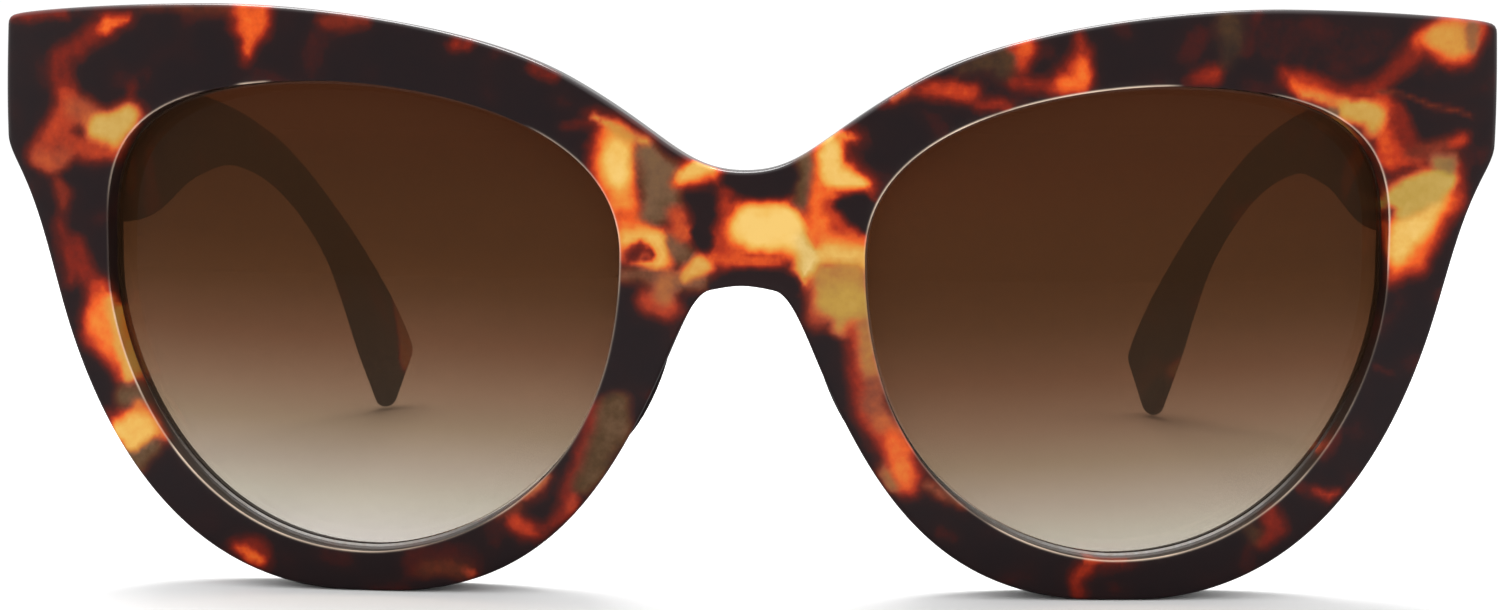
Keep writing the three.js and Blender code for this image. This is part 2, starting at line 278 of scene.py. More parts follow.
def front_outline():
    wide = HALF_WIDTH
    half = bezier_chain((0, 41.4), [
        ((5.9, 41.4), (7.4, 45), (16.7, 50.2)),
        ((26.5, 55.7), (44, 57.2), (52, 57.2)),
        ((62.7, 57.2), (71.2, 56.5), (72.1, 56.2)),
        ((72.7, 56.1), (wide, 55.8), (wide, 55.2)),
        ((wide, 52), (wide, 47.6), (72.8, 44.2)),
        ((72.7, 43), (71.7, 41.5), (71.2, 40.4)),
        ((69, 36), (68.1, 31.2), (66.5, 26)),
        ((62, 11.7), (53.4, 0), (38, 0)),
        ((37, 0), (36, 0), (35, 0)),
        ((19.1, 0), (12.5, 10.7), (6.7, 24.5)),
        ((5.2, 28), (4.2, 29.8), (3, 30)),
        ((2, 30.2), (1, 30.4), (0, 30.4)),
    ])
    other = half[1:-1][::-1] * np.array([-1, 1])
    return even_loop(np.vstack([half, other]), OUTLINE_STEP)


def lens_outline(spacing):
    points = bezier_chain((41.1, 49.9), [
        ((64.3, 49.9), (62.2, 40.2), (62.2, 32)),
        ((62.2, 22.4), (54.8, 3.9), (36.2, 3.9)),
        ((30.4, 3.9), (11.6, 7.9), (11.6, 33.3)),
        ((11.6, 47.7), (34.4, 49.9), (41.1, 49.9)),
    ])
    return even_loop(points[:-1], spacing)


def opening_outline(spacing):
    """The visible edge of a lens opening, where the rim laps a little over the lens."""
    loop = lens_outline(spacing)
    return loop - outward(loop) * RIM_LAP


def bowl(x, z, radius):
    across = np.hypot(x, BRIDGE_BLEND) - EYE_X
    return WRAP_SLOPE * across + (across**2 + (z - EYE_Z) ** 2) / (2 * radius)


def front_face(x, z):
    return bowl(x, z, FRONT_RADIUS) + FACE_OFFSET


def lens_face(x, z):
    return bowl(x, z, LENS_RADIUS) + FACE_OFFSET + LENS_INSET


LUG = np.array([(61, 58), (74, 58), (74, 38), (69, 34.5), (64.5, 36.5), (61, 43)])


def sides_of(polygon):
    return zip(polygon, np.roll(polygon, -1, axis=0))


def is_inside(x, z, polygon):
    """Whether each point is inside a polygon, from how many of its sides lie across to the right."""
    inside = np.zeros(x.shape, dtype=bool)
    for a, b in sides_of(polygon):
        if a[1] != b[1]:
            crosses = (a[1] > z) != (b[1] > z)
            inside ^= crosses & (x < (b[0] - a[0]) * (z - a[1]) / (b[1] - a[1]) + a[0])
    return inside


def inside_distance(x, z, polygon):
    """How far inside a polygon each point is, less than zero outside."""
    nearest = np.full(x.shape, np.inf)
    for a, b in sides_of(polygon):
        edge = b - a
        t = np.clip(((x - a[0]) * edge[0] + (z - a[1]) * edge[1]) / (edge @ edge), 0, 1)
        nearest = np.minimum(nearest, np.hypot(x - a[0] - t * edge[0], z - a[1] - t * edge[1]))
    return np.where(is_inside(x, z, polygon), nearest, -nearest)


def back_face(x, z):
    """The front's back, rising to a flat lug behind each upper corner."""
    plain = front_face(x, z) + FRONT_THICKNESS
    lug = smooth(inside_distance(np.abs(x), z, LUG), 0, 0.9)
    return np.where(lug > 0, plain * (1 - lug) + LUG_FACE * lug, np.minimum(plain, LUG_FACE))


# ---- The tortoise pattern ----
# Soft brush strokes of amber in dark acetate, painted one over another. Each stroke is (level, paleness,
# softness, nodes of (x, z, radius)): level 0 is the dark ground and 1 the brightest amber, and paleness
# turns orange into olive.

RIGHT_RIM_STROKES = [
    (0.34, 0, 0.8, [(-73, 56, 0.3), (-67, 56.3, 0.35)]),
    (0.36, 0, 1.3, [(-62.4, 54.6, 0.8), (-64.6, 53.7, 0.8), (-66.8, 52, 0.8), (-67.1, 50, 0.6)]),
    (0.57, 0, 0.6, [(-62.6, 54.8, 0.6), (-62.4, 55.4, 0.6), (-60.6, 55.8, 0.3)]),
    (0.3, 0, 1.2, [(-67, 50.2, 0.6), (-66.6, 48.4, 1.2)]),
    (0.44, 0.1, 1.2, [(-66.4, 47.6, 1.1), (-67.4, 45.2, 1.3), (-68.8, 42.6, 1.3)]),
    (0.43, 0.1, 0.9, [(-67, 43.6, 0.9), (-63.6, 43, 1.0), (-61.6, 43, 0.8)]),
    (0.3, 0, 0.8, [(-59.9, 46.8, 0.7), (-59.7, 49, 0.3)]),
    (0.5, 0.4, 1.2, [(-65.8, 46.8, 0.7), (-64.6, 46.5, 1.1), (-62.6, 45.4, 1.3), (-60.6, 45.8, 1.0)]),
    (0.84, 0.85, 1.0, [(-63.2, 45.2, 1.0), (-61.5, 44.9, 1.2), (-60, 46, 0.8)]),
    (0.46, 0.3, 1.0, [(-69, 42, 0.8), (-68, 41.7, 1.0), (-67, 42.2, 0.8)]),
    (0.36, 0.1, 0.8, [(-67.4, 39.6, 0.4), (-66.7, 38.4, 0.8), (-66.9, 37, 0.4)]),
    (0.33, 0, 1.0, [(-67.4, 35.6, 0.3), (-66.6, 33.6, 0.8), (-66, 31.4, 0.8), (-66, 30, 0.3)]),
    (0.35, 0, 0.9, [(-65.3, 34, 0.3), (-64.7, 31.4, 0.8), (-63.6, 29.8, 0.9)]),
    (0.5, 0, 1.0, [(-63, 29.4, 0.7), (-62.9, 27, 1.3), (-63, 25, 1.5), (-61.6, 23, 1.0), (-60.6, 21, 0.8)]),
    (0.64, 0, 1.1, [(-62.7, 27.8, 0.7), (-62.8, 25.6, 1.0), (-62, 24.6, 0.8)]),
    (0.76, 0.5, 0.6, [
        (-62.2, 28.6, 0.1), (-61.6, 26.5, 0.3), (-60.9, 24, 0.4), (-60.3, 22, 0.5), (-60, 20.6, 0.5),
    ]),
    (0.33, 1, 1.0, [(-60.6, 18.8, 0.9), (-59.2, 18.6, 1.0)]),
    (0.6, 0.3, 0.9, [(-59, 17.4, 0.8), (-57.6, 16.2, 0.8), (-56.8, 15.2, 0.5)]),
    (0.34, 1, 0.9, [(-60.8, 13, 0.8), (-59.4, 12.8, 1.2), (-58, 13.8, 1.0)]),
    (0.89, 0.1, 0.8, [(-61.2, 15.4, 0.9), (-59.8, 15.6, 1.4), (-58.6, 15.8, 1.1), (-60.2, 14.2, 0.8)]),
    (0.27, 0.3, 1.0, [(-59, 56.8, 0.4), (-52, 56.5, 0.6), (-48, 56.4, 0.6)]),
    (0.4, 0, 1.2, [(-47.8, 57, 1.9), (-47.8, 54.6, 1.5), (-48.1, 52, 0.3)]),
    (0.58, 0, 0.8, [(-47.7, 57, 1.3), (-47.7, 54.8, 1.1), (-48, 52.8, 0.4)]),
    (0.34, 0.1, 1.1, [(-40.2, 55.8, 0.5), (-38.3, 55.8, 0.9), (-36.5, 55.3, 0.5)]),
    (0.18, 0, 1.4, [(-42.2, 50.4, 0.8), (-41.2, 54, 0.6)]),
    (0.4, 0, 0.9, [(-27.6, 53.6, 0.3), (-26.4, 53.5, 0.4)]),
    (0.3, 0, 1.0, [(-20.2, 51.2, 0.6), (-18.2, 50.3, 0.5)]),
    (0.28, 0, 1.0, [(-17, 45.4, 0.3), (-14.4, 46, 0.4)]),
    (0.34, 0, 0.9, [(-49.8, 4.2, 0.4), (-47.6, 3.8, 1.2)]),
    (0.56, 0, 0.6, [(-49.6, 3.7, 0.3), (-48.6, 3.2, 0.6), (-47.4, 2.8, 0.6)]),
    (0.2, 0, 1.4, [(-31.4, 3.2, 1.6), (-27, 3.6, 1.6)]),
    (0.28, 0.4, 1.1, [(-30.4, 2.4, 0.9), (-27.4, 2.5, 0.9)]),
    (0.46, 0.2, 0.4, [(-26.9, 2.4, 0.2), (-26.4, 2, 0.3)]),
    (0.3, 0.3, 0.9, [(-23.4, 8.2, 0.5), (-21.6, 8.8, 0.7)]),
    (0.44, 0, 0.8, [(-21.7, 7.3, 0.7), (-20.4, 6.4, 0.7), (-19.6, 6, 0.3)]),
    (0.5, 0.6, 0.5, [(-22, 9.3, 0.2), (-20, 10.7, 0.3), (-18.6, 12.1, 0.15)]),
    (0.36, 0, 1.0, [
        (-18.8, 6.6, 0.4), (-17, 8.6, 0.8), (-16.2, 11.4, 0.8), (-15, 14.6, 0.8), (-13.6, 18.4, 0.9),
    ]),
    (0.32, 1, 1.0, [(-12, 18.8, 1.3), (-12.2, 16.8, 1.5), (-13.6, 13.8, 1.2), (-15, 11, 0.9)]),
    (0.44, 0.1, 0.6, [(-16.8, 8.4, 0.4), (-15.9, 9.5, 0.3)]),
]

BRIDGE_STROKES = [
    (0.52, 0, 1.1, [(-12.4, 43.8, 1.9), (-12.4, 41, 1.7), (-11.9, 38, 1.5), (-10.8, 36.6, 1.3)]),
    (0.66, 0.1, 1.0, [(-12, 43.6, 1.6), (-11.8, 40.6, 1.3), (-11.7, 38.6, 0.9)]),
    (0.95, 0.1, 1.0, [(-11.9, 43.2, 1.2), (-11.6, 41.2, 1.0)]),
    (0.4, 1, 1.0, [(-9.2, 42.8, 0.9), (-8, 41.2, 1.6), (-7.8, 38.8, 1.8), (-8.3, 37.2, 1.2)]),
    (0.66, 0.6, 0.5, [(-14.6, 46.2, 0.2), (-12, 45.2, 0.35), (-9.2, 43.9, 0.3)]),
    (0.52, 0, 0.7, [(-6.2, 40.6, 0.6), (-4.4, 40.8, 0.9), (-2.4, 41.1, 0.5)]),
    (0.86, 0.2, 0.7, [(-5.8, 41.2, 0.4), (-4.4, 41.5, 0.7), (-3.2, 41.6, 0.4)]),
    (0.58, 0.1, 0.8, [(-11.4, 35.2, 0.9), (-9.6, 34.2, 1.9), (-8, 33.6, 1.6)]),
    (0.84, 0.25, 0.7, [(-10.8, 34.8, 0.5), (-9.5, 34.2, 1.2), (-8, 34.2, 1.1), (-8.8, 32.8, 0.9)]),
    (0.38, 0.7, 0.9, [(-11.4, 31.4, 0.6), (-8.4, 31.1, 0.7)]),
    (0.42, 0.1, 1.0, [(-9, 28.8, 0.9), (-7, 28.4, 1.1)]),
    (0.5, 0.7, 0.9, [(-7.2, 30.8, 1.0), (-7.4, 29.6, 0.8)]),
    (0.47, 0.15, 0.8, [(-6.3, 37.2, 0.7), (-5.7, 35.4, 0.9)]),
    (0.36, 0.9, 0.8, [(-6.6, 34.4, 0.5), (-5.8, 33.4, 0.9)]),
    (0.42, 0.8, 0.7, [(-6, 30.8, 0.6), (-3.6, 30.9, 0.5)]),
    (0.8, 0.5, 0.6, [(-5.6, 31.3, 0.4), (-4.3, 32.2, 0.8), (-3.3, 32.4, 0.4)]),
    (0.38, 0, 0.9, [(-1.7, 39.2, 0.6), (-2, 36.5, 0.8), (-2.3, 34, 0.7)]),
    (0.48, 0, 1.1, [(-0.4, 34.6, 1.4), (0.8, 36.2, 2.4), (3.6, 36, 2.7), (5.8, 34.6, 2.2)]),
    (0.66, 0.05, 0.9, [(0.2, 35.8, 1.5), (1.6, 36.2, 2.2), (3.6, 36, 2.3), (5.4, 34.8, 1.8)]),
    (0.98, 0.05, 0.8, [(0.3, 36, 1.2), (1.4, 36.2, 1.9), (3.4, 36.2, 1.9), (5, 35.2, 1.4)]),
    (0.96, 0.8, 1.0, [(6.2, 34.8, 1.1), (6.8, 33.6, 1.3), (6.2, 32.4, 1.0), (5.7, 31.4, 0.4)]),
    (0.5, 0, 0.7, [(-2.6, 33, 0.5), (0.4, 32.8, 0.6), (3.4, 32.8, 0.5)]),
    (0.34, 1, 0.9, [(6, 42.6, 0.8), (6.2, 40.6, 1.1), (6, 38.8, 0.8)]),
    (0.56, 0, 0.8, [(7.9, 44.4, 0.9), (7.7, 41, 1.1), (7.7, 38, 1.3), (7.4, 36, 1.2)]),
    (0.63, 0, 0.8, [(7.6, 38.4, 0.6), (7.5, 36, 0.8)]),
    (0.92, 0.15, 0.7, [
        (8.7, 44.4, 0.6), (8.4, 42.6, 0.9), (8.5, 41.2, 1.0), (9.6, 41, 0.9), (11.4, 40.3, 0.3),
    ]),
    (0.64, 0.1, 0.5, [(9.4, 44.6, 0.4), (10.7, 44.6, 0.2)]),
    (0.46, 0, 0.9, [(9, 38.2, 1.0), (10.8, 37.2, 2.0), (12, 36, 1.8)]),
    (0.6, 0.1, 0.7, [(8, 35, 0.9), (10, 34.4, 0.9), (12, 34.2, 0.8)]),
    (0.84, 0.4, 0.8, [(8.4, 33.6, 0.9), (10.2, 33.2, 1.0), (11.8, 33, 0.9)]),
    (0.44, 0.2, 0.9, [(6.9, 30.4, 0.7), (7.2, 27.4, 0.8)]),
    (0.6, 0.8, 0.8, [(8.2, 31, 1.2), (10.6, 31, 1.3)]),
    (0.66, 0.9, 1.0, [(9, 29, 1.7), (11, 28.4, 1.9), (10.6, 26.8, 1.6)]),
    (0.1, 0, 0.4, [(-5.2, 38.8, 0.2), (-4, 38.4, 0.6), (-3.5, 37, 0.8), (-4, 35.8, 0.7), (-3.5, 34.6, 0.9)]),
    (0.08, 0, 0.7, [(-1.4, 40.6, 0.7), (1, 40.3, 1.0), (3.6, 40.3, 1.0), (4.4, 41, 0.5)]),
    (0.06, 0, 0.6, [(9.6, 38.2, 0.7), (10.8, 37.7, 1.4), (11.8, 37.2, 1.3)]),
    (0.1, 0, 0.7, [(-3, 30.7, 0.3), (0, 30.9, 0.8), (2.8, 31.1, 1.0), (4.6, 30.6, 0.8)]),
    (0.05, 0, 0.9, [(8.2, 24, 1.6), (9.6, 23.6, 1.7)]),
    (0.5, 0.2, 0.6, [(-10.8, 33.4, 0.7), (-9.8, 33.8, 0.9), (-9.2, 33.4, 0.6)]),
    (0.32, 0, 0.35, [(-11, 32.9, 0.25), (-10.3, 33.5, 0.45), (-9.7, 34.3, 0.35)]),
    (0.36, 0, 0.25, [(-9.6, 34.5, 0.2), (-8.8, 33.6, 0.2), (-9.3, 33, 0.2)]),
]

LEFT_RIM_STROKES = [
    (0.4, 0, 0.9, [(10.9, 26, 1.0), (11.2, 22, 0.9), (12.2, 18.4, 0.9), (14.2, 15, 1.2)]),
    (0.57, 0.8, 0.8, [(11.8, 26.4, 0.9), (12, 23.8, 0.8), (12.4, 22.2, 0.8)]),
    (0.41, 0.5, 0.8, [(12.8, 21, 0.9), (12.8, 19.4, 1.0), (13.8, 17.8, 1.0)]),
    (0.5, 0.45, 0.8, [(13.8, 17.2, 0.8), (15, 16.2, 0.8), (16.4, 14.8, 0.4)]),
    (0.42, 0.7, 0.7, [(13.8, 12.8, 0.5), (15, 11, 0.5)]),
    (0.5, 0, 0.9, [(14.6, 15.6, 0.9), (15.6, 13.6, 1.6), (16, 11.4, 0.9)]),
    (0.58, 0.1, 0.7, [(14.8, 15, 0.6), (15.6, 13.4, 0.9), (15.9, 11.8, 0.5)]),
    (0.52, 0.8, 0.6, [(14, 12.4, 0.4), (14.7, 11.2, 0.4)]),
    (0.25, 0, 0.8, [(17.4, 14, 0.6), (18.4, 12.4, 0.5)]),
    (0.42, 0.5, 0.6, [(17.8, 11.4, 0.3), (19.8, 10.6, 0.4), (21.6, 9.5, 0.2)]),
    (0.2, 0, 1.0, [(19.2, 6.6, 0.6), (20.6, 6.2, 0.5)]),
    (0.3, 0, 0.9, [(13.4, 47.8, 0.3), (16, 49.4, 0.6), (20, 49.6, 0.8)]),
    (0.44, 0, 0.8, [(17.2, 49.2, 0.4), (19.6, 49, 0.7), (21.8, 48.8, 0.7)]),
    (0.5, 0.3, 0.4, [(14.2, 48.6, 0.2), (15.6, 49.4, 0.25)]),
    (0.4, 0, 0.7, [(22.8, 47.8, 0.3), (24.8, 47.7, 0.4)]),
    (0.36, 0, 0.9, [(26, 50, 0.6), (28.2, 49.6, 0.6)]),
    (0.26, 0.9, 1.0, [(20.4, 51.3, 0.3), (23, 52, 0.9), (25.4, 52.4, 1.1), (24.6, 51, 0.7)]),
    (0.44, 0, 0.8, [(26, 53.9, 0.8), (27, 53.2, 0.9), (26.6, 51.6, 0.4)]),
    (0.5, 0, 0.6, [(26.4, 54, 0.5), (26.9, 53.2, 0.5)]),
    (0.42, 0, 0.9, [(29.6, 49.5, 0.6), (31.6, 50.6, 1.5), (32.2, 52.8, 0.9), (31.8, 54.4, 0.3)]),
    (0.57, 0, 0.7, [(30.4, 50, 0.5), (31.8, 50.3, 0.9), (32, 51.8, 0.6)]),
    (0.38, 0, 0.9, [(43, 50.3, 0.5), (44.3, 50.6, 0.8), (45, 51.2, 0.4)]),
    (0.19, 0, 1.3, [(42.4, 53, 1.0), (43.6, 54.8, 0.9)]),
    (0.24, 0.9, 1.2, [(46.2, 56, 1.3), (46.6, 53.8, 1.2), (46.2, 52.4, 0.5)]),
    (0.27, 0, 0.9, [(49.3, 56.6, 0.4), (48.8, 55, 0.4), (48.1, 53, 0.3)]),
    (0.16, 0, 1.6, [(50.8, 54, 2.4), (57, 53.6, 2.6), (61, 54, 1.6)]),
    (0.37, 0, 0.9, [(51.6, 50.9, 0.6), (53.2, 50.4, 1.0), (57, 49.4, 0.8), (61, 49.4, 0.6)]),
    (0.52, 0, 0.6, [(52.5, 50.3, 0.3), (53.6, 49.6, 0.5), (55.6, 49.2, 0.4)]),
    (0.62, 0.4, 0.6, [(53.4, 49.2, 0.3), (55.6, 48.6, 0.5), (57.4, 48.6, 0.7)]),
    (0.48, 0, 1.0, [(61.4, 47.8, 1.0), (61.8, 45.6, 1.2), (62.6, 43.4, 1.5), (64.4, 43.2, 0.8)]),
    (0.33, 0.2, 0.9, [(64.6, 43.6, 0.8), (67.6, 44.4, 0.7)]),
    (0.34, 0, 0.9, [(62.6, 47, 0.8), (63.8, 45, 0.9)]),
    (0.8, 0.8, 0.8, [(57.8, 47.8, 0.8), (59.2, 47.4, 1.2), (60.4, 47.2, 0.9), (60.2, 45.8, 0.5)]),
    (0.4, 0.9, 0.4, [(56.2, 47.7, 0.4), (56.8, 47.6, 0.3)]),
    (0.42, 0, 0.7, [(68.6, 44.4, 0.4), (69.6, 44.6, 0.5)]),
    (0.42, 0, 0.9, [(62.6, 31.6, 0.6), (65, 32.8, 0.8), (67, 36, 0.9), (68.6, 39.4, 0.9), (69.2, 42, 0.6)]),
    (0.6, 0, 0.8, [(62.8, 32.8, 0.7), (64.6, 33.8, 0.9), (66.4, 36.8, 0.8), (67.8, 39.4, 0.6)]),
    (0.9, 0.3, 0.9, [(63, 34, 0.9), (63.8, 35.8, 1.3), (65.2, 36.8, 1.2), (66.6, 38.6, 0.6)]),
    (0.78, 1, 0.7, [
        (62.6, 39.6, 0.8), (64, 39.4, 1.5), (66.2, 40.4, 1.6), (67.8, 41.4, 1.1), (63.4, 37.8, 0.5),
    ]),
    (0.52, 1, 0.7, [(66.8, 42.8, 0.6), (68.4, 42.6, 0.7)]),
    (0.36, 0, 1.2, [(61.4, 50.2, 0.6), (63.2, 52, 1.0), (65.4, 54, 1.3), (68, 54.4, 2.4)]),
    (0.5, 0, 0.9, [(65.8, 54.6, 1.2), (68.8, 54.4, 2.2), (70.4, 55.2, 1.4)]),
    (0.68, 0.55, 0.9, [(67.2, 54.8, 1.3), (68.6, 54.6, 1.6), (69.2, 55.2, 1.1)]),
    (0.46, 0.8, 0.6, [(70.6, 55.6, 0.7), (70.4, 54, 0.6)]),
    (0.32, 0.3, 0.3, [(61, 49.1, 0.15), (64, 49, 0.2), (67.6, 48, 0.15), (70.4, 47, 0.1)]),
    (0.2, 0, 0.8, [(61.2, 23, 0.4), (62.6, 22.4, 0.4)]),
    (0.6, 0.2, 0.25, [(56.2, 14.8, 0.15), (57, 16.4, 0.15)]),
    (0.25, 0, 0.8, [(54.4, 11.2, 0.4), (56, 10.8, 0.5)]),
    (0.42, 0, 0.5, [(56, 10.7, 0.3), (57, 10.2, 0.4), (57.7, 10.6, 0.2)]),
    (0.25, 0.8, 1.0, [(49, 7.8, 0.9), (50, 6.2, 0.8)]),
    (0.36, 0, 0.9, [(51.4, 9, 0.7), (52, 7, 0.8), (50.8, 5.6, 0.5)]),
    (0.4, 0, 0.8, [(32.8, 1, 0.6), (32.4, 2.4, 0.6), (33.6, 3.6, 0.5)]),
    (0.54, 0.1, 0.4, [(33.4, 4.1, 0.25), (37.4, 4.3, 0.2)]),
]

# How far the dim red round a stroke reaches, in millimetres, and its share of the stroke's level. Strokes
# dimmer than HALO_FROM have none.
HALO_REACH, HALO_LEVEL, HALO_FROM = 1.7, 0.45, 0.3

# mathutils' noise takes its offsets from the clock until it is given a seed.
noise.seed_set(173)
# Each noise as (how fine it is, how far it moves the pattern). LEAN's move is for each millimetre of depth.
BROAD, FINE, LEAN = (0.3, 0.55), (1.2, 0.16), (0.12, 1.4)


def stroke_distance(x, z, nodes):
    """How far outside a stroke each point is, less than zero inside."""
    nearest = np.full(x.shape, np.inf)
    for (ax, az, ar), (bx, bz, br) in itertools.pairwise(nodes):
        dx, dz = bx - ax, bz - az
        t = np.clip(((x - ax) * dx + (z - az) * dz) / max(dx * dx + dz * dz, 1e-9), 0, 1)
        away = np.hypot(x - ax - t * dx, z - az - t * dz) - (ar + t * (br - ar))
        nearest = np.minimum(nearest, away)
    return nearest


def drift(x, y, z, scale, amount):
    """Seeded noise offsets in millimetres. The pattern changes slowly with depth."""
    moves = np.array([
        noise.noise_vector(Vector((a * scale, b * scale * 0.25, c * scale))) for a, b, c in zip(x, y, z)
    ])
    return amount * moves


def tortoise(x, y, z, strokes, depth):
    """Level and paleness of the acetate at each point. Strokes lean to one side or another with depth."""
    broad = drift(x, y, z, *BROAD)
    fine = drift(x, y, z, *FINE)
    lean = drift(x, np.zeros(y.shape), z, *LEAN)
    depth = np.maximum(depth, 0)
    x = x + broad[:, 0] + fine[:, 0] + lean[:, 0] * depth
    z = z + broad[:, 2] + fine[:, 2] + lean[:, 2] * depth
    level = 0.06 + 0.1 * smooth(broad[:, 1], -0.05, 0.3)
    pale = np.zeros(x.shape)
    for target, paleness, soft, nodes in strokes:
        away = stroke_distance(x, z, nodes)
        cover = smooth(-away, -soft, soft * 0.6)
        if target > HALO_FROM:
            halo = HALO_LEVEL * target * np.exp(-(np.maximum(away, 0) / HALO_REACH) ** 2)
            level = np.maximum(level, halo)
        level += (target - level) * cover
        pale += (paleness - pale) * cover
    mottle = broad[:, 1] * 0.16 + fine[:, 1] * 0.35
    return level * (1 + mottle), pale


def store(obj, **values):
    """Keeps numbers on an object's vertices, under the names that its material looks up."""
    for name, numbers in values.items():
        attribute = obj.data.attributes.new(name, "FLOAT", "POINT")
        attribute.data.foreach_set("value", np.asarray(numbers, dtype=np.float32))


def paint_front(obj):
    """Stores the front's pattern. Depth is measured from the front's face."""
    x, y, z = vertex_points(obj)
    strokes = RIGHT_RIM_STROKES + BRIDGE_STROKES + LEFT_RIM_STROKES
    glow, pale = tortoise(x, y, z, strokes, y - front_face(np.abs(x), z))
    store(obj, glow=glow, pale=pale)


# Painted shade on a temple's inner side, which lies in shadow: how much darker it is, and the y between which
# that begins.
INNER_SHADE, INNER_SHADE_Y = 0.62, (40, 60)


def paint_temple(obj, strokes, clear_from):
    """Stores a temple's pattern and its inner side's painted shade, with its length as the strokes' x and
    depth from its inner face.

    The inner side is darker with painted shade up to where clear_from says, in y.
    """
    x, y, z = vertex_points(obj)
    depth = np.abs(x) - temple_face(y)
    glow, pale = tortoise(y, x, z, strokes, depth)
    inner = 1 - smooth(depth, 0.4, 2.4)
    covered = smooth(y, *INNER_SHADE_Y) * (1 - smooth(y, clear_from, clear_from + 3))
    store(obj, glow=glow * (1 - INNER_SHADE * inner * covered), pale=pale)


# The painted highlight on the edge of each opening: how brightly it catches the light, as (degrees, strength)
# round
# the eye: 0 is the outer side, 90 the top, 180 the bridge side and 270 the bottom.
RIGHT_RIM_HIGHLIGHT = [
    (0, 0.6), (5, 0.35), (9, 0.05), (22, 0.05), (27, 0.2), (34, 0.3), (40, 0.5), (50, 0.35), (54, 0), (60, 0),
    (61.5, 0.7), (66, 0.5), (67.5, 0), (128, 0), (133, 0.3), (151, 0.35), (158, 0.6), (165, 0.4), (176, 0.2),
    (200, 0.2), (228, 0.3), (232, 0.6), (240, 0.2), (255, 0.2), (263, 0.7), (275, 1), (326, 0.9), (330, 0.35),
    (340, 0.4), (347, 0.7), (360, 0.6),
]
LEFT_RIM_HIGHLIGHT = [
    (0, 0.1), (10, 0.1), (14, 0.5), (28, 0.6), (34, 0.4), (46, 0.5), (55, 0.3), (58, 0), (76, 0), (80, 0.7),
    (86, 1), (112, 0.9), (120, 0.6), (123, 0.9), (146, 0.9), (154, 0.8), (160, 0.3), (165, 0.1), (205, 0.15),
    (236, 0.3), (241, 0.9), (285, 1), (291, 0.6), (323, 0.5), (326, 0.3), (340, 0.3), (350, 0.1), (360, 0.1),
]
# The same for the painted highlight on the ground edge of a lens, seen through its face at the bottom.
LENS_EDGE_ARC = [
    (0, 0), (215, 0.05), (242, 0.3), (262, 0.75), (270, 1), (300, 0.95), (312, 0.5), (322, 0.2), (336, 0.04),
    (350, 0), (360, 0),
]


def round_eye(x, z, arc):
    """Looks up an arc's strength at points given by their distance from the bridge and their height."""
    turned_by = np.degrees(np.arctan2(z - EYE_Z, x - EYE_X)) % 360
    return np.interp(turned_by, *zip(*arc))


# The painted highlight line's distance from the opening's edge and its width, in millimetres, and the painted
# gleam on the wall.
HIGHLIGHT_OFFSET, HIGHLIGHT_WIDTH, WALL_GLEAM = 0.07, 0.08, 0.06


def paint_edge_highlight(obj):
    """Paints a highlight on the polished arris round the lens openings, where light comes through the
    acetate's edge.
    """
    across, y, z = vertex_points(obj)
    x = np.abs(across)
    depth = y - front_face(x, z)
    distance = nearest_among(opening_outline(OUTLINE_STEP / 2))
    away = np.array([distance(*point) for point in zip(x, z)])
    line = np.exp(-(((away - HIGHLIGHT_OFFSET) / HIGHLIGHT_WIDTH) ** 2)) * smooth(-depth, -0.21, -0.15)
    line = np.maximum(line, WALL_GLEAM * smooth(-away, -0.3, -0.15) * smooth(-depth, -1.8, -1.5))
    strength = np.where(across < 0, round_eye(x, z, RIGHT_RIM_HIGHLIGHT), round_eye(x, z, LEFT_RIM_HIGHLIGHT))
    store(obj, arris=line * strength)


# ---- Materials ----

def srgb(red, green, blue):
    """A colour given as 0 to 255 screen values, as linear numbers."""
    linear = []
    for value in (red, green, blue):
        value /= 255
        linear.append(value / 12.92 if value <= 0.04045 else ((value + 0.055) / 1.055) ** 2.4)
    return (*linear, 1.0)


